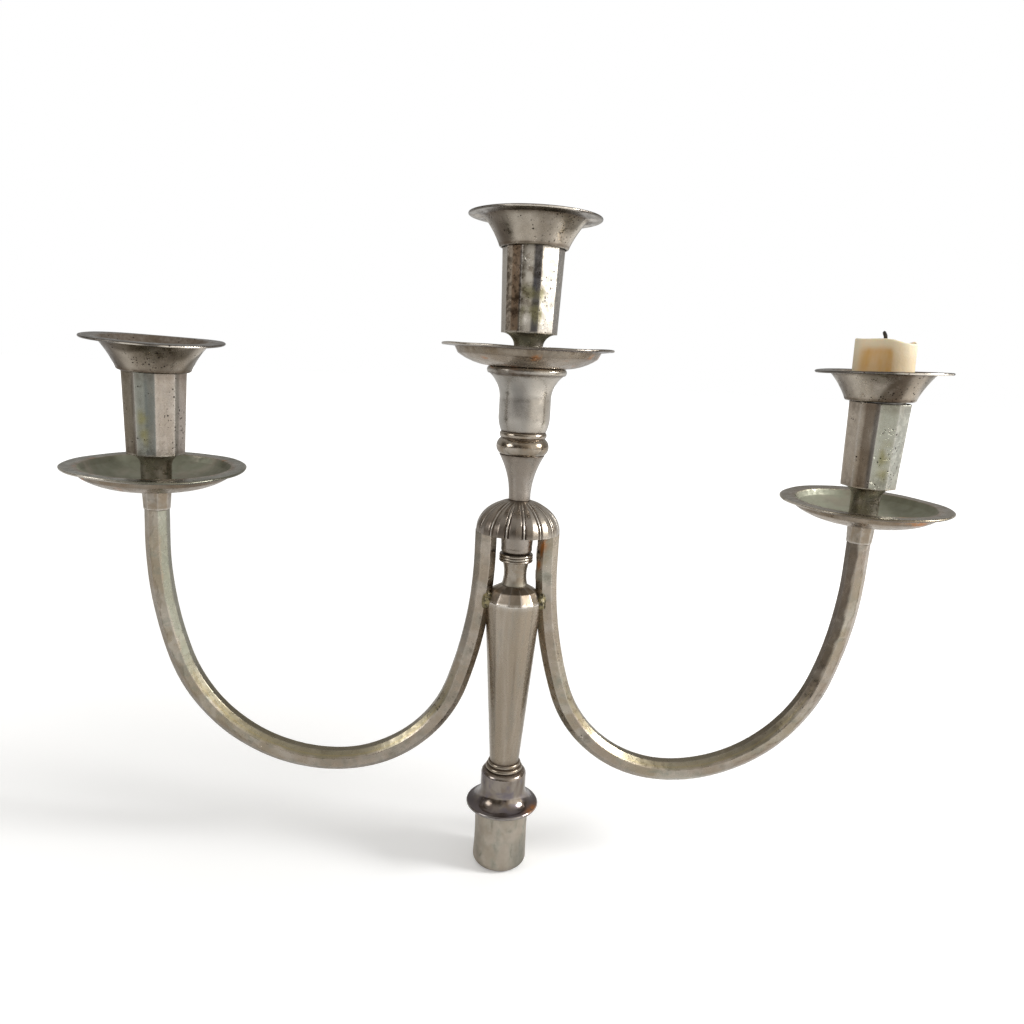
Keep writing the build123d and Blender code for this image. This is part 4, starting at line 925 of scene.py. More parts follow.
class BRANCH_OT_arms(bpy.types.Operator):
    """Two bent octagonal arms"""
    bl_idname = "branch.arms"
    bl_label = "Arms"

    def execute(self, context):
        for name, side in (("left_arm", -1), ("right_arm", 1)):
            self.arm(context.scene.branch_arms, name, side)
        return {"FINISHED"}

    def arm(self, arms, name, side):
        """Octagon carried along the arm's axis: point = axis + a x normal + b x sideways, for section (a, b).

        The top ring is levelled at the dome's lower edge, and the rings just below it stay under that edge.
        """
        line = arm_line(arms, side)
        length = run_along(line)
        dome = heights("lobed_dome")[0] / MM
        start = TENON - side * arms.uneven / MM
        stops = np.concatenate([np.arange(start, start + 50, 0.55), np.arange(start + 50, length[-1], 1.3),
                                [length[-1]]])
        path = np.column_stack([np.interp(stops, length, line[:, k]) for k in range(2)])
        heading = np.gradient(path, stops, axis=0)
        heading /= np.linalg.norm(heading, axis=1, keepdims=True)
        normal = np.column_stack([-heading[:, 1], heading[:, 0]])
        angle, factor, near = flat_section(8, 22.5, 0.10, 5.0)
        corner = arms.flats / MM / 2 / np.cos(np.pi / 8)
        far = (stops - start)[:, None]
        a, b = factor * np.cos(angle), factor * np.sin(angle)
        dents = np.zeros((len(far), len(angle)))
        for at, turn, long, wide, depth in ARM_DENTS[name]:
            towards = np.abs((side * np.degrees(angle) - turn + 180) % 360 - 180)
            dents += depth * np.exp(-((far - at) / (long / 2)) ** 4) * np.exp(-(towards / wide) ** 4)
        grain = np.stack(np.broadcast_arrays(a * corner, b * corner, far), axis=-1)
        uneven = 0.06 * ripple(grain * np.array([0.5, 0.5, 1.0]), 22.0, 11 + side)
        uneven = uneven + 0.01 * ripple(grain, 5.0, 21 + side)
        reach = corner - dents + uneven - 0.1
        flat = path[:, None, :] + (a * reach)[:, :, None] * normal[:, None, :]
        grid = np.stack([flat[..., 0], b * reach, flat[..., 1], np.ones_like(reach)], axis=-1)
        grid[..., :3] *= MM
        grid = (grid @ arm_side(arms, side).T)[..., :3]
        grid[0, :, 2] = dome * MM
        below = np.minimum(grid[1:, :, 2], dome * MM - 2e-5 * far[1:])
        grid[1:, :, 2] = np.where(far[1:] < 8, below, grid[1:, :, 2])
        ends = [np.broadcast_to(ring.mean(axis=0), (1,) + ring.shape) for ring in (grid[0], grid[-1])]
        facing = compass(angle)[None, :] * side + 0 * far
        named = self.finish_fields(grid[..., 2] / MM, facing, far, near, dents, side)
        named = {key: np.concatenate([values[:1], values, values[-1:]]) for key, values in named.items()}
        along = np.concatenate([[0], stops - stops[0] + 0.5, [stops[-1] - stops[0] + 1.0]]) * MM
        around = (angle - angle[0]) * corner * MM
        piece(name + "_surface", np.concatenate([ends[0], grid, ends[1]]), around, along, named, "branch",
              [name], "arm silver")

    def finish_fields(self, height, facing, far, near, dents, side):
        """Fields of an arm's finish. facing is 0 inside the bow and -90 in front, and far is the run in mm.

        The tints that follow facing (inner, strip, outer) are mostly painted reflections, each flat taking the
        tone it mirrors. outer also marks flaked plate, and shine is a painted highlight.
        """
        wave = 9 * np.sin(far / 5.1) + 6 * np.sin(far / 2.3 + 1) + 4 * np.sin(far / 1.1 + side)
        share = far / far.max()
        low = ramp(height, 62, -22)
        rising, stem = ramp(share, 0.52, 0.10), ramp(share, 0.22, -0.06)
        inner = ramp(facing + 0.5 * wave, -66, 9) * ramp(facing, 60, -10)
        strip = ramp(facing + 0.2 * wave, -27, 6) * ramp(facing, 60, -10)
        outer = ramp(facing - wave, -104, -7) + ramp(facing, 100, 20)
        shine = peak(facing, -50, 3.0) * low
        brush = 0.5 + 0.5 * np.sin(far / 9.0 + 0.03 * facing)
        copper = np.zeros_like(facing)
        if side > 0:
            layers = ((0.4 * brush, ROSE), (0.6 * inner * low, OLIVE),
                      (0.75 * inner * rising * (1 - 0.5 * low), UMBER), (0.4 * outer * rising, ROSE),
                      (0.6 * inner * stem, BEIGE), (0.35 * strip, UMBER), (0.6 * shine, GOLD))
            for at, turn, long, wide in COPPER_SPOTS:
                copper += peak(far, at, long) * peak(facing, turn, wide)
        else:
            layers = ((0.35 * (1 - rising), ROSE), (0.7 * inner * rising * (1 - low), SAGE),
                      (0.7 * inner * low, OLIVE), (0.5 * outer * rising, (0.25, 0.20, 0.155)),
                      (0.4 * inner * stem, SLATE), (0.4 * strip, UMBER), (0.7 * shine, GOLD))
        # Pale corners and dent rims: painted highlight, partly rubbed plate. Darker in the dents, at the root
        # and along the flaked border.
        edge = 0.16 * near + 0.9 * peak(dents, 0.3, 0.16) * (dents > 0.05)
        border = peak(facing - wave, -104, 2.5) * rising
        grime = 1.1 * np.clip(dents, 0, 0.6) + 0.5 * peak(far, 0, 0.8) + 0.6 * border
        return {"edge": np.clip(edge, 0, 1), "grime": np.clip(grime, 0, 1), "flake": outer * rising,
                "copper": np.clip(copper, 0, 1), "wash": washes(*layers)}


class BRANCH_OT_solder(bpy.types.Operator):
    """Lumps of solder between the arms and the baluster's shoulder"""
    bl_idname = "branch.solder"
    bl_label = "Solder"

    def execute(self, context):
        size = np.array([2.3, 2.2, 4.4]) * MM
        for name in ("left_solder", "right_solder"):
            low, high = (np.array(corner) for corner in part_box(name))
            for part, way in (("front", -1), ("back", 1)):
                centre = (low + high) / 2 + np.array([0, way * ((high[1] - low[1]) / 2 - size[1]), 0])
                self.lump(f"{name}_{part}", centre, size, way, [name] if way < 0 else [])
        return {"FINISHED"}

    def lump(self, name, centre, half, seed, nodes):
        """Egg with lumps: point = centre + half x direction x (0.84 + 0.16 x ripple of the direction)."""
        up = np.linspace(-np.pi / 2, np.pi / 2, 25)[:, None]
        angle = np.linspace(0, 2 * np.pi, 32, endpoint=False)[None, :]
        ball = np.cos(up) * np.cos(angle), np.cos(up) * np.sin(angle), np.sin(up)
        way = np.stack(np.broadcast_arrays(*ball), axis=-1)
        grown = 0.84 + 0.16 * ripple(way, 1.5, 31 + seed)
        grid = centre + half * way * grown[..., None]
        piece(name + "_lump", grid, angle[0] * half[0], (up[:, 0] + 1.6) * half[2], {"grime": 0.0},
              "branch", nodes, "soft solder")


class BRANCH_OT_ferrules(bpy.types.Operator):
    """Eight-sided caps between the arms and the side pans"""
    bl_idname = "branch.ferrules"
    bl_label = "Ferrules"

    def execute(self, context):
        tall_mm = 9
        outline = drawn((0, 0), (4.55, 0, 1), (4.80, 0.35, 1), (4.82, 0.7, 1), (5.33, 8.9, 1), (5.2, 9.0, 1),
                        (0, tall_mm))
        line = thinned(eased(outline, 0.2), 0.7)
        section = flat_section(8, 22.5, 0.12, 6.0)

        def fields(at):
            # Darker at the foot and in patches at the top, under the pan. A pale ring near the foot: painted
            # highlight, partly rubbed plate.
            top = peak(at.z, tall_mm, 1.6) * np.clip(np.sin(3 * at.angle + 1.0) + 0.2, 0, 1)
            return {"grime": np.clip(0.7 * peak(at.z, 0.1, 0.25) + 0.9 * top, 0, 1),
                    "edge": np.clip(0.35 * section[2] + 0.8 * peak(at.z, 0.55, 0.22), 0, 1)}
        for light in ("left", "right"):
            place = light_place(light) @ shifted(z=-tall_mm * MM)
            turned(light + "_ferrule_surface", line, place, "branch", "ferrule_silver", [light + "_ferrule"],
                   "ferrule silver", section=section, swell=worn(6.0, 17, 0.08), fields=fields)
        return {"FINISHED"}


# ---------------------------------------------------------------- lights

PAN_BRIMS = {"left": (0.17, 0.175, 0.14), "centre": (0.16, 0.145, 0.125), "right": (0.19, 0.165, 0.12)}


class BRANCH_OT_pans(bpy.types.Operator):
    """Three drip pans"""
    bl_idname = "branch.pans"
    bl_label = "Drip pans"

    def execute(self, context):
        radius = context.scene.branch_lights.pan / MM
        well = radius - 4.85
        outline = drawn((2.0, 0), (12.5, 0), ((20.85, 1.51), (well - 1.2, 4.18)), (well, 6.5),
                        (radius - 0.5, 6.7), ((radius, 7.2), (radius - 0.5, 7.7)), (well - 1.0, 7.5),
                        (well - 2.2, 5.18), ((20.35, 2.51), (12.5, 1.0)), (2.0, 1.0), (2.0, 0))[:-1]
        line = thinned(eased(outline, 0.45, closed=True), 1.0, 8.0, closed=True)
        for number, light in enumerate(LIGHTS):
            self.pan(light, number, line, radius, well)
        return {"FINISHED"}

    def pan(self, light, number, line, radius, well):
        """Turned pan with a slightly bent lip: height + share of the lip x three waves round it."""
        def swell(at):
            wave = 0.28 * np.sin(2 * at.angle + number * 2.1) + 0.16 * np.sin(3 * at.angle + 1.3 + number)
            wave = wave + 0.06 * np.sin(9 * at.angle + number)
            lip = ramp(at.r, 20, 12) ** 2
            return -0.10 * lip * (1 + np.sin(3 * at.angle + number)), lip * wave

        def fields(at):
            r, z = at.r, at.z
            floor = 1.0 + ramp(r, 12.5, 14) ** 1.9 * 4.6
            inside = ramp(z - floor, -0.55, 0.3) * ramp(r, well - 0.6, -0.8)
            under = (1 - inside) * (r < well - 0.2)
            belly = under * (z < floor - 0.5)
            rim, brim = peak(r, radius - 0.1, 0.4), ramp(r, well + 0.3, 0.6)
            spots = np.clip(mottled(at, 7.0, 40 + number) * 2 - 1.1, 0, 1)
            ring = np.stack([9 * np.cos(at.angle), 9 * np.sin(at.angle), 0 * r], axis=-1)
            around = np.clip(ripple(ring, 9.0, 50 + number), 0, 1)
            # Darker in the well's corner, round the cup's foot and in patches on the underside.
            grime = 0.5 * peak(r, well, 0.7) + 0.55 * peak(r, 6, 1.6) * inside
            grime = grime + 0.35 * around * under * (r > 19)
            # inner: a painted highlight on the well's edge. dark: upright bands of painted reflection on the
            # belly. bright: a painted highlight along the lip.
            inner = peak(r, well + 0.2, 0.35) * ramp(z, 7.1, 0.3)
            dark = np.clip(np.sin(np.radians(at.turn * 2 + 40 + 80 * number)) + 0.1, 0, 1)
            bright = rim * np.clip(np.sin(np.radians(at.turn * 2.3 + 60 * number)), 0, 1)
            # Layers: the belly's tone and its painted reflections, the brim's tone with painted shade on its
            # underside, the painted highlights, and painted shade on the belly under the brim. The lip's
            # highlight also pales the edge field.
            layers = ((0.5 * belly, BEIGE), (0.65 * belly * dark, (0.15, 0.115, 0.085)),
                      (0.85 * brim, PAN_BRIMS[light]), (0.8 * brim * (z < 7.0), (0.10, 0.08, 0.075)),
                      (0.8 * inner, CREAM), (0.5 * bright, CREAM), (0.6 * belly * ramp(r, well - 2, 2), UMBER))
            return {"bloom": np.clip(inside * 1.1, 0, 1), "edge": 0.35 * bright, "grime": np.clip(grime, 0, 1),
                    "copper": 0.75 * spots * under, "wash": washes(*layers)}
        body = "centre_light" if light == "centre" else "branch"
        turned(light + "_pan_surface", line, light_place(light), body, "pan_silver", [light + "_pan"],
               "pan silver", section=round_section(144), closed=True, swell=swell, fields=fields)


# Compass angle of the corner right of each cup's front flat
CUP_CORNERS = {"left": -69.0, "centre": -78.0, "right": -79.0}
# Tones of a cup's flats, tarnish together with painted reflections and painted highlights: flat, from and to as
# shares of its width from the left, share and colour.
# Flat 2 is in front.
CUP_TONES_AND_REFLECTIONS = {
    "left": ((0, 0.0, 1.0, 0.7, UMBER), (1, 0.0, 0.9, 0.8, (0.125, 0.10, 0.065)),
             (1, 0.8, 1.0, 0.7, (0.075, 0.06, 0.045)), (2, 0.0, 0.55, 0.8, (0.27, 0.285, 0.25)),
             (2, 0.5, 1.0, 0.8, (0.155, 0.175, 0.165)), (3, 0.0, 1.0, 0.7, (0.37, 0.32, 0.275)),
             (4, 0.0, 0.3, 0.75, (0.17, 0.15, 0.125)), (4, 0.3, 1.0, 0.6, (0.34, 0.28, 0.25)),
             (6, 0.0, 1.0, 0.6, UMBER), (8, 0.0, 1.0, 0.6, BEIGE)),
    "centre": ((0, 0.0, 1.0, 0.6, (0.55, 0.51, 0.46)), (1, 0.0, 0.35, 0.7, (0.33, 0.27, 0.21)),
               (1, 0.3, 0.92, 0.9, (0.155, 0.10, 0.06)), (1, 0.9, 1.0, 0.9, (0.05, 0.04, 0.035)),
               (2, 0.0, 0.15, 0.7, (0.25, 0.22, 0.17)), (2, 0.15, 0.58, 0.85, (0.92, 0.87, 0.78)),
               (2, 0.62, 1.0, 0.85, (0.12, 0.125, 0.15)), (3, 0.04, 1.0, 0.9, (0.92, 0.875, 0.80)),
               (4, 0.0, 1.0, 0.7, (0.42, 0.40, 0.385)), (6, 0.0, 1.0, 0.6, UMBER), (8, 0.0, 1.0, 0.5, CREAM)),
    "right": ((0, 0.0, 1.0, 0.7, (0.34, 0.28, 0.22)), (1, 0.0, 0.3, 0.7, (0.24, 0.19, 0.14)),
              (1, 0.25, 0.8, 0.85, (0.13, 0.095, 0.065)), (1, 0.8, 1.0, 0.85, (0.055, 0.045, 0.04)),
              (2, 0.0, 1.0, 0.8, (0.44, 0.45, 0.37)), (3, 0.0, 1.0, 0.8, (0.52, 0.53, 0.47)),
              (6, 0.0, 1.0, 0.5, UMBER)),
}
# The olive stain of each cup, from flat to flat, and its pitted stretch, as first flat and width in flats
CUP_STAINS = {"left": (2.1, 2.6), "centre": (2.0, 3.3), "right": (2.3, 2.9)}
CUP_PITTED = {"left": (3.5, 1.5), "centre": (2.5, 1.5), "right": (2.0, 2.0)}
CUP_SIDES = 10


def cup_heights(lights, light):
    """Foot and rim of a light's cup over its pan's underside, in metres."""
    higher = {"left": 0, "centre": 0, "right": lights.right_higher}[light]
    longer = {"left": -lights.left_shorter, "centre": 0, "right": lights.right_longer}[light]
    return lights.bottom + higher, lights.rim + (higher + longer)


class BRANCH_OT_cups(bpy.types.Operator):
    """Three ten-sided cups on turned necks, and their screws"""
    bl_idname = "branch.cups"
    bl_label = "Cups"

    def execute(self, context):
        lights = context.scene.branch_lights
        for light in LIGHTS:
            bottom, rim = (height / MM for height in cup_heights(lights, light))
            self.cup(light, lights.cup / MM, lights.foot / MM, bottom, rim)
            repainted("screw steel", light + "_sconce_screw")
        return {"FINISHED"}

    def cup(self, light, top, foot, bottom, rim):
        """Ten-sided cup with corner radii top and foot, in mm. Each flat takes its own tone: tarnish, with
        painted reflections and highlights.

        An olive stain lies low in front, and the plate is darker near the foot. The neck, the inside and the
        band below the rim, under the nozzle's overhang, carry painted shade.
        """
        wall, base, neck = 0.74, 1.3, 5.4
        slope = (top - foot) / (rim - bottom)
        shelf = foot * np.cos(np.pi / CUP_SIDES)
        hollow = (neck + (shelf - neck) * 0.3, bottom - 1.4)
        outline = drawn((2.0, 1.0), (neck + 0.8, 1.0), (neck, 1.8), (neck, bottom - 4.7),
                        (hollow, (shelf, bottom, 0.0)), (foot, bottom, 1.0), (top, rim, 1.0),
                        (top - wall, rim, 1.0), (foot + slope * base - wall, bottom + base, 1.0),
                        (2.0, bottom + base, 0.0), (2.0, 1.0))[:-1]
        line = thinned(eased(outline, 0.32, closed=True), 1.3, 10.0, closed=True)
        corner = CUP_CORNERS[light]
        section = flat_section(CUP_SIDES, corner, 0.035, 7.0)

        def fields(at):
            r, z = at.r, at.z
            across = ((np.degrees(at.angle) - corner + 108) % 360) / 36
            level = (z - bottom) / (rim - bottom)
            outside = (z > bottom + 0.3) * (r > 8.5) * ramp(r - (9.6 + (z - bottom) * 0.042), 0, 0.2)
            # Each flat's tone from the table: tarnish, with painted reflections and painted highlights.
            layers = [(share * outside * between(across, flat + start, flat + end, 0.03), colour)
                      for flat, start, end, share, colour in CUP_TONES_AND_REFLECTIONS[light]]
            blots = np.clip(mottled(at, 6.0, 75, 0.7) * 3 + 0.5, 0, 1)
            stain = blots * between(level, 0.12, 0.55, 0.12) * outside
            layers.append((0.8 * stain * between(across, *CUP_STAINS[light], 0.25), (0.27, 0.25, 0.115)))
            flat, width = CUP_PITTED[light]
            pitted = between(across, flat, flat + width, 0.5) * between(level, 0.0, 0.75, 0.3) * outside
            # Darker near the foot. Painted shade under the rim where the nozzle overhangs, on the neck and
            # inside. Pale corners: painted highlight, partly rubbed plate.
            ends = 0.3 * peak(z, bottom, 5.0) + 0.45 * peak(z, rim - 1.5, 1.6)
            grime = ends * outside + 0.35 * (z < bottom - 0.2) + 0.7 * (1 - outside) * (z > bottom + 0.5)
            return {"edge": 0.35 * section[2] * outside, "wash": washes(*layers), "pitted": pitted,
                    "grime": np.clip(grime, 0, 1)}
        turned(light + "_cup_surface", line, light_place(light), light + "_sconce_body", "sconce_silver",
               [light + "_sconce"], "sconce silver", section=section, closed=True, swell=worn(15.0, 60, 0.06),
               fields=fields)


# Middle and width, in compass degrees, of the painted shade on each nozzle's bell
NOZZLE_SHADES = {"left": (-128.0, 26.0), "centre": (-142.0, 22.0), "right": (-96.0, 16.0)}
# Compass stretches of a nozzle's rim with a painted highlight
RIM_SHINES = {"left": ((-96.0, -79.0), (-64.0, -29.0)), "centre": ((-118.0, -60.0), (20.0, 70.0)),
              "right": ((-105.0, -44.0),)}
# Radius of the bell's outside, in mm, at heights over the cup's rim
BELL_HEIGHTS, BELL_RADII = (0, 2, 4.6, 7.5, 9.4, 10.0), (12.8, 13.65, 15.16, 17.2, 18.7, 19.5)
NOZZLE_LIP_MM = 10.2     # height of the lip's middle over the cup's rim
TUBE_MIDDLE = 7 * MM     # depth of the tube's middle below the cup's rim


def nozzle_place(context, light):
    """Frame of a nozzle on its cup's rim, lifted, and tipped about the middle of its tube."""
    lights = context.scene.branch_lights
    lift = getattr(lights, light + "_lift")
    forward, inward = {"left": (lights.left_forward, lights.left_inward), "centre": (0, 0),
                       "right": (-lights.right_back, -lights.right_inward)}[light]
    tip = turned_about("X", np.degrees(forward)) @ turned_about("Y", np.degrees(inward))
    level = cup_heights(lights, light)[1] + lift
    return light_place(light) @ shifted(z=level - TUBE_MIDDLE) @ tip @ shifted(z=TUBE_MIDDLE)


class BRANCH_OT_nozzles(bpy.types.Operator):
    """Three loose flared nozzles"""
    bl_idname = "branch.nozzles"
    bl_label = "Nozzles"

    def execute(self, context):
        radius, lip = context.scene.branch_lights.nozzle / MM, NOZZLE_LIP_MM
        throat, corner = radius - 5.8, 12.8
        outline = drawn((9.29, 0), (11.85, 0), (11.85, -0.9), (12.15, -0.9), ((12.66, -0.45), (corner, 0)),
                        ((15.16, 4.59), (throat, 9.4)), (radius - 0.45, 9.75),
                        ((radius, lip), (radius - 0.45, 10.65)), (throat - 0.45, 10.3),
                        ((14.26, 5.04), (11.9, 1.2)), (11.6, 0.9), (9.29, 0.9), (9.29, 0))[:-1]
        line = thinned(eased(outline, 0.3, closed=True), 0.9, 8.0, closed=True)
        for number, light in enumerate(LIGHTS):
            self.nozzle(context, light, number, line, radius, throat)
            repainted("tube metal", light + "_nozzle_tube")
        return {"FINISHED"}

    def nozzle(self, context, light, number, line, radius, throat):
        """Turned dish with a slightly bent lip: height + share of the lip x slow waves round it."""
        # The centre nozzle's lip is flatter, and its bell gets a pale painted sheen.
        flat, bell_sheen = (0.55, 0.3) if light == "centre" else (1.0, 0.0)

        def swell(at):
            wave = 0.20 * np.sin(2 * at.angle + 1 + number * 1.7) + 0.12 * np.sin(3 * at.angle + number) - 0.3
            lip = ramp(at.r, 16, 8) ** 2
            return -0.12 * lip * (1 + np.sin(2 * at.angle + 2 * number)), flat * lip * wave

        def fields(at):
            r, z, turn = at.r, at.z, at.turn
            wall = np.interp(z, BELL_HEIGHTS, BELL_RADII)
            inside = np.clip(ramp(wall - 0.35 - r, 0, 0.3) * (z > 0.5) + (z > 10.25) * (r > throat - 1), 0, 1)
            rim = peak(r, radius - 0.1, 0.35)
            # Darker along the skirt's foot, with painted shade deeper inside the dish and under the lip.
            seam = peak(z, -0.2, 0.5) * (r > 12)
            under = peak(z, 9.3, 0.7) * peak(r, throat, 1.5) * (1 - inside)
            dark = 0.75 * inside * np.clip((21.5 - r) / 3, 0.25, 1)
            top = ramp(z, 10.25, 0.2) * (r > throat - 2)
            bell = (1 - inside) * (z < 9.6) * (r > 12.2)
            low = ramp(z, 9.9, -0.5) * (r > throat) * between(turn, -145, -45, 30.0)
            blot = np.clip(mottled(at, 15.0, 70 + number) * 2.2, 0, 1)
            left = peak(turn, *NOZZLE_SHADES[light])
            shine = sum(between(turn, *stretch, 8.0) for stretch in RIM_SHINES[light]) * rim * (z < 10.4)
            dim = np.clip(np.sin(np.radians(turn * 4.6 + 90 * number)) * 1.5 - 0.35, 0, 1)
            glint = np.clip(np.sin(np.radians(turn * 3.4 + 100 + 60 * number)) * 2 - 1.2, 0, 1)
            # Layers: the bell's tone, a pale painted sheen on the centre bell, painted highlights and dark
            # painted reflections in upright bands, tarnish blots, painted shade on the side given in
            # NOZZLE_SHADES, the lip top's slate tone, painted shade under the lip's front, the rim's dark tone,
            # and the rim's painted highlight, which also pales the edge field.
            layers = ((0.45 * bell, BEIGE), (bell_sheen * bell, CREAM), (0.75 * bell * glint, CREAM),
                      (0.85 * bell * blot, (0.10, 0.08, 0.055)), (0.5 * bell * dim, (0.12, 0.095, 0.07)),
                      (0.7 * bell * left, UMBER), (0.85 * top, SLATE), (0.75 * low, (0.13, 0.11, 0.09)),
                      (0.8 * rim, (0.12, 0.11, 0.10)), (0.9 * shine, CREAM))
            pitted = between(turn, -120 + 15 * number, -40 + 15 * number, 30.0) * bell
            return {"edge": 0.5 * shine, "grime": np.clip(dark + 0.8 * seam + 0.6 * under, 0, 1),
                    "pitted": 0.6 * pitted, "wash": washes(*layers)}
        turned(light + "_nozzle_surface", line, nozzle_place(context, light), light + "_nozzle_body",
               "nozzle_silver", [light + "_nozzle_dish"], "nozzle silver", section=round_section(128),
               closed=True, swell=swell, fields=fields)


class BRANCH_OT_candle(bpy.types.Operator):
    """Burnt-down candle stub and its wick"""
    bl_idname = "branch.candle"
    bl_label = "Candle stub"

    def execute(self, context):
        candle = context.scene.branch_candle
        radius, top = candle.radius / MM, NOZZLE_LIP_MM + candle.stand / MM
        outline = drawn((0, -11.5), (8.1, -11.5), (8.38, 1.5), (radius, 4.5), (radius, top - 0.7),
                        ((radius - 0.15, top - 0.15), (radius - 0.6, top)),
                        ((radius * 0.62, top - 1.3), (1.6, top - 1.9)), (0, top - 1.7))
        line = thinned(eased(outline, 0.5), 0.8, 8.0)
        place = nozzle_place(context, "right")

        def swell(at):
            angle = at.angle
            share = ramp(at.z, 9.0, top - 9.0) ** 1.2
            high = -0.75 + 0.85 * np.tanh(-(np.cos(angle) + 0.10) * 3.2) + 0.15 * np.sin(3 * angle + 0.6)
            crest = 0.8 * peak(at.turn, -8, 17)
            dribble = 0.22 * np.sin(5 * angle + 0.8) * ramp(at.z, 5, 8)
            outer = ramp(at.r, 5, 5)
            wider = -0.28 * (1 + np.sin(2 * angle + 0.4)) / 2 * share * outer + dribble * 0.5 * outer - 0.12
            return wider, share * (high + crest * outer)

        def fields(at):
            sweep = ramp(at.turn, -178, 30) * ramp(at.turn, -100, -8) * ramp(at.z, top - 2.2, -2.6)
            deep = 0.28 * ramp(at.z, top - 1, -6) * (at.r > 5)
            return {"amber": np.clip(sweep + deep, 0, 1), "soot": 0.8 * peak(at.r, 0, 1.9) * (at.z > top - 4)}
        turned("candle_surface", line, place, "candle", "candle_wax", ["candle_stub"], "candle wax",
               section=round_section(96), swell=swell, fields=fields)
        self.wick(place, top)
        return {"FINISHED"}

    def wick(self, place, top):
        """Round thread along a bent line: x = -1.5 t^2.2 and z = start + 6.2 t, for t from 0 to 1, in mm."""
        t = np.linspace(0, 1, 28)
        line = np.column_stack([-1.5 * t ** 2.2, 0.2 * np.sin(5 * t), top - 3.2 + 6.2 * t])
        heading = np.gradient(line, axis=0)
        heading /= np.linalg.norm(heading, axis=1, keepdims=True)
        side = np.cross(heading, [0, 1.0, 0])
        side /= np.linalg.norm(side, axis=1, keepdims=True)
        over = np.cross(side, heading)
        angle = np.linspace(0, 2 * np.pi, 16, endpoint=False)
        reach = 0.62 * (1 + 0.12 * np.sin(3 * angle[None, :] + 14 * t[:, None]))
        reach = (reach * np.interp(t, [0, 0.8, 0.95, 1], [1, 1.1, 0.9, 0.0])[:, None])[..., None]
        turn = angle[None, :, None]
        way = np.cos(turn) * side[:, None, :] + np.sin(turn) * over[:, None, :]
        grid = np.concatenate([np.broadcast_to(line[0], (1, 16, 3)), line[:, None, :] + reach * way]) * MM
        grid = grid @ place[:3, :3].T + place[:3, 3]
        piece("wick_surface", grid, angle * 0.6 * MM, np.linspace(0, 6.2, 29) * MM, {"soot": 1.0}, "candle",
              ["wick"], "burnt wick")


# ---------------------------------------------------------------- stage

# Place of each lamp and its width. A lamp shines along its -Z, at the point that they all aim at.
LAMPS = {"key lamp": ((0.85, -0.16, 0.52), 0.28), "fill lamp": ((-0.75, -0.35, 0.45), 0.35)}
LAMPS_AIM = np.array([0, 0, 0.1])
FLOOR_HALF = 6.0
SENSOR_MM = 36.0


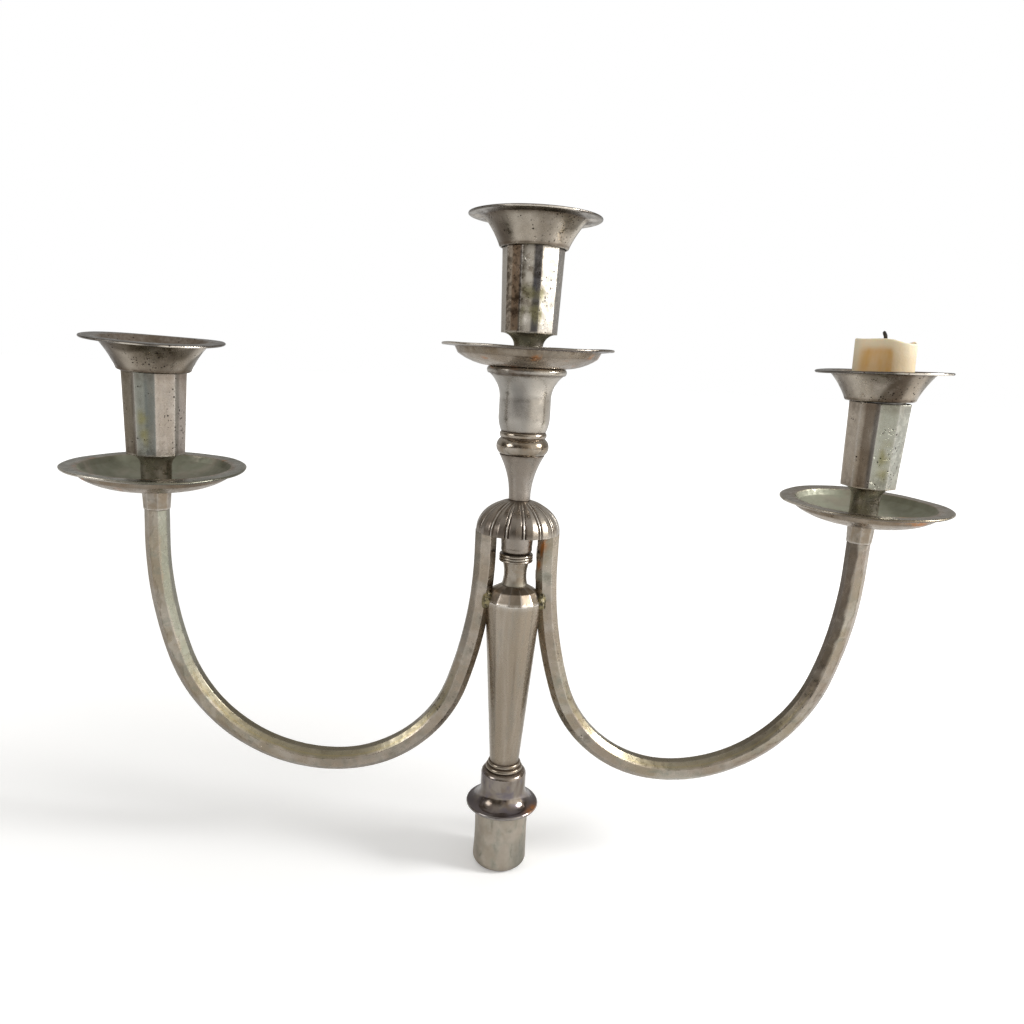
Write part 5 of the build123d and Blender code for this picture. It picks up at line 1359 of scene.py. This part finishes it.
class BRANCH_OT_stage(bpy.types.Operator):
    """Floor, world, lamps and camera"""
    bl_idname = "branch.stage"
    bl_label = "Stage"

    def execute(self, context):
        stage = context.scene.branch_stage
        context.scene.view_settings.view_transform = "Standard"
        self.floor()
        self.world(context, stage)
        self.lamps(context, stage)
        self.camera(context, stage)
        return {"FINISHED"}

    def floor(self):
        """Square floor under the spigot: pale for the lamps, white to the camera but for the object's shadow.

        Its glow, seen by the camera and half as bright in mirrors, grows with the distance from the spigot.
        """
        level = PACKED_BOX[0][2]
        ways = ((-1, -1), (1, -1), (1, 1), (-1, 1))
        mesh = bpy.data.meshes.new("floor")
        mesh.from_pydata([(x * FLOOR_HALF, y * FLOOR_HALF, level) for x, y in ways], [], [(0, 1, 2, 3)])
        floor = bpy.data.objects.new("floor", mesh)
        bpy.context.scene.collection.objects.link(floor)
        material = bpy.data.materials.new("pale floor")
        tree = Tree(material, empty=True)
        path = tree.node("LightPath").outputs
        seen = tree.most(path["Is Camera Ray"], tree.times(path["Is Glossy Ray"], 0.5))
        seen = tree.most(seen, path["Is Transmission Ray"])
        colour = tree.over(path["Is Camera Ray"], (0.71, 0.71, 0.705), (0.97, 0.97, 0.965))
        place = tree.node("TexCoord").outputs["Object"]
        away = tree.node("VectorMath", {0: place}, operation="LENGTH").outputs["Value"]
        lift = tree.plus(tree.span(away, 0.05, 0.6, 0.16, 0.46), tree.span(away, 0.5, 2.0, 0.0, 0.5))
        diffuse = tree.node("BsdfDiffuse", {"Color": colour})
        glow = tree.node("Emission", {"Color": (1, 1, 1, 1), "Strength": tree.times(seen, lift)})
        both = tree.node("AddShader", {0: diffuse.outputs[0], 1: glow.outputs[0]})
        tree.node("OutputMaterial", {"Surface": both.outputs[0]})
        mesh.materials.append(material)

    def world(self, context, stage):
        """Even light for matt surfaces, white behind for the camera, and a studio for the metal to mirror.

        The studio is a dim room in soft upright bands of noise, paler behind the object and overhead. In
        degrees from the front, a broad bright window stands from about 28 to 98 on the right, and a darker
        stretch from about 34 to 107 on the left.
        """
        world = bpy.data.worlds.new("studio")
        context.scene.world = world
        tree = Tree(world, empty=True)
        way = tree.node("TexCoord").outputs["Generated"]
        parts = tree.node("SeparateXYZ", {0: way}).outputs
        towards = tree.times(parts["Y"], -1.0)
        compass_way = tree.times(tree.sums("ARCTAN2", parts["X"], towards), 180 / np.pi)
        upright = tree.scaled(way, 1, 1, 0.25)
        bands = tree.node("TexNoise", {"Vector": upright, "Scale": 3.1, "Detail": 2.0}).outputs["Fac"]
        room = tree.over(tree.span(bands, 0.40, 0.62), (0.10, 0.085, 0.07), (0.46, 0.415, 0.36))
        window = tree.times(tree.span(compass_way, 14.0, 42.0), tree.span(compass_way, 112.0, 84.0))
        shade = tree.times(tree.span(compass_way, -18.0, -50.0), tree.span(compass_way, -125.0, -90.0))
        behind = tree.span(parts["Y"], 0.15, 0.65)
        colour = tree.over(tree.times(shade, 0.6), room, (0.09, 0.08, 0.07))
        colour = tree.over(window, colour, (1.20, 1.14, 1.05))
        colour = tree.over(behind, colour, (0.45, 0.44, 0.42))
        colour = tree.over(tree.span(parts["Z"], 0.40, 0.85), colour, (0.66, 0.645, 0.62))
        mirrored = tree.node("Background", {"Color": colour, "Strength": 1.0})
        even = tree.node("Background", {"Color": (1, 0.985, 0.96, 1), "Strength": stage.sky})
        white = tree.node("Background", {"Color": (1, 1, 1, 1), "Strength": 1.0})
        path = tree.node("LightPath").outputs
        shine = tree.most(path["Is Glossy Ray"], path["Is Transmission Ray"])
        lit = tree.node("MixShader", {0: shine, 1: even.outputs[0], 2: mirrored.outputs[0]})
        shown = tree.node("MixShader", {0: path["Is Camera Ray"], 1: lit.outputs[0], 2: white.outputs[0]})
        tree.node("OutputWorld", {"Surface": shown.outputs[0]})

    def lamps(self, context, stage):
        """A large lamp high on the right in front, and a smaller one on the left."""
        powers = {"key lamp": stage.key, "fill lamp": stage.fill}
        for name, (at, wide) in LAMPS.items():
            lamp = bpy.data.lights.new(name, "AREA")
            lamp.energy, lamp.size = powers[name], wide
            holder = bpy.data.objects.new(name, lamp)
            back = np.asarray(at) - LAMPS_AIM
            holder.matrix_world = Matrix(standing(at, back).tolist())
            context.scene.collection.objects.link(holder)

    def camera(self, context, stage):
        """Camera from its place, yaw, pitch and roll, which turns right and up about the line of sight."""
        lens = bpy.data.cameras.new("camera")
        lens.lens, lens.sensor_width = stage.lens, SENSOR_MM
        lens.clip_start = 0.01
        holder = bpy.data.objects.new("camera", lens)
        yaw, pitch, roll = stage.yaw, stage.pitch, stage.roll
        sight = np.array([np.sin(yaw) * np.cos(pitch), np.cos(yaw) * np.cos(pitch), -np.sin(pitch)])
        right = np.array([np.cos(yaw), -np.sin(yaw), 0.0])
        up = np.cross(right, sight)
        place = np.eye(4)
        place[:3, 0] = right * np.cos(roll) + up * np.sin(roll)
        place[:3, 1] = up * np.cos(roll) - right * np.sin(roll)
        place[:3, 2] = -sight
        place[:3, 3] = stage.camera
        holder.matrix_world = Matrix(place.tolist())
        context.scene.collection.objects.link(holder)
        context.scene.camera = holder


# ---------------------------------------------------------------- add-on

OPERATORS = (BRANCH_OT_foot, BRANCH_OT_baluster, BRANCH_OT_turnings, BRANCH_OT_dome, BRANCH_OT_arms,
             BRANCH_OT_solder, BRANCH_OT_ferrules, BRANCH_OT_pans, BRANCH_OT_cups, BRANCH_OT_nozzles,
             BRANCH_OT_candle, BRANCH_OT_stage)


class BRANCH_PT_panel(bpy.types.Panel):
    """Lists the branch's pieces in the sidebar"""
    bl_idname = "BRANCH_PT_panel"
    bl_label = "Candelabrum branch"
    bl_space_type = "VIEW_3D"
    bl_region_type = "UI"
    bl_category = "Candelabrum"

    def draw(self, context):
        for operator in OPERATORS:
            self.layout.operator(operator.bl_idname)
        for name, group in SETTINGS.items():
            box = self.layout.box()
            box.label(text=group.__doc__)
            for key in group.__annotations__:
                box.prop(getattr(context.scene, name), key)


def register():
    for group in SETTINGS.values():
        bpy.utils.register_class(group)
    for name, group in SETTINGS.items():
        setattr(bpy.types.Scene, name, PointerProperty(type=group))
    for operator in OPERATORS:
        bpy.utils.register_class(operator)
    bpy.utils.register_class(BRANCH_PT_panel)


def unregister():
    bpy.utils.unregister_class(BRANCH_PT_panel)
    for operator in reversed(OPERATORS):
        bpy.utils.unregister_class(operator)
    for name, group in SETTINGS.items():
        delattr(bpy.types.Scene, name)
        bpy.utils.unregister_class(group)


def main():
    register()
    for operator in OPERATORS:
        group, call = operator.bl_idname.split(".")
        getattr(getattr(bpy.ops, group), call)()


if __name__ == "__main__":
    main()
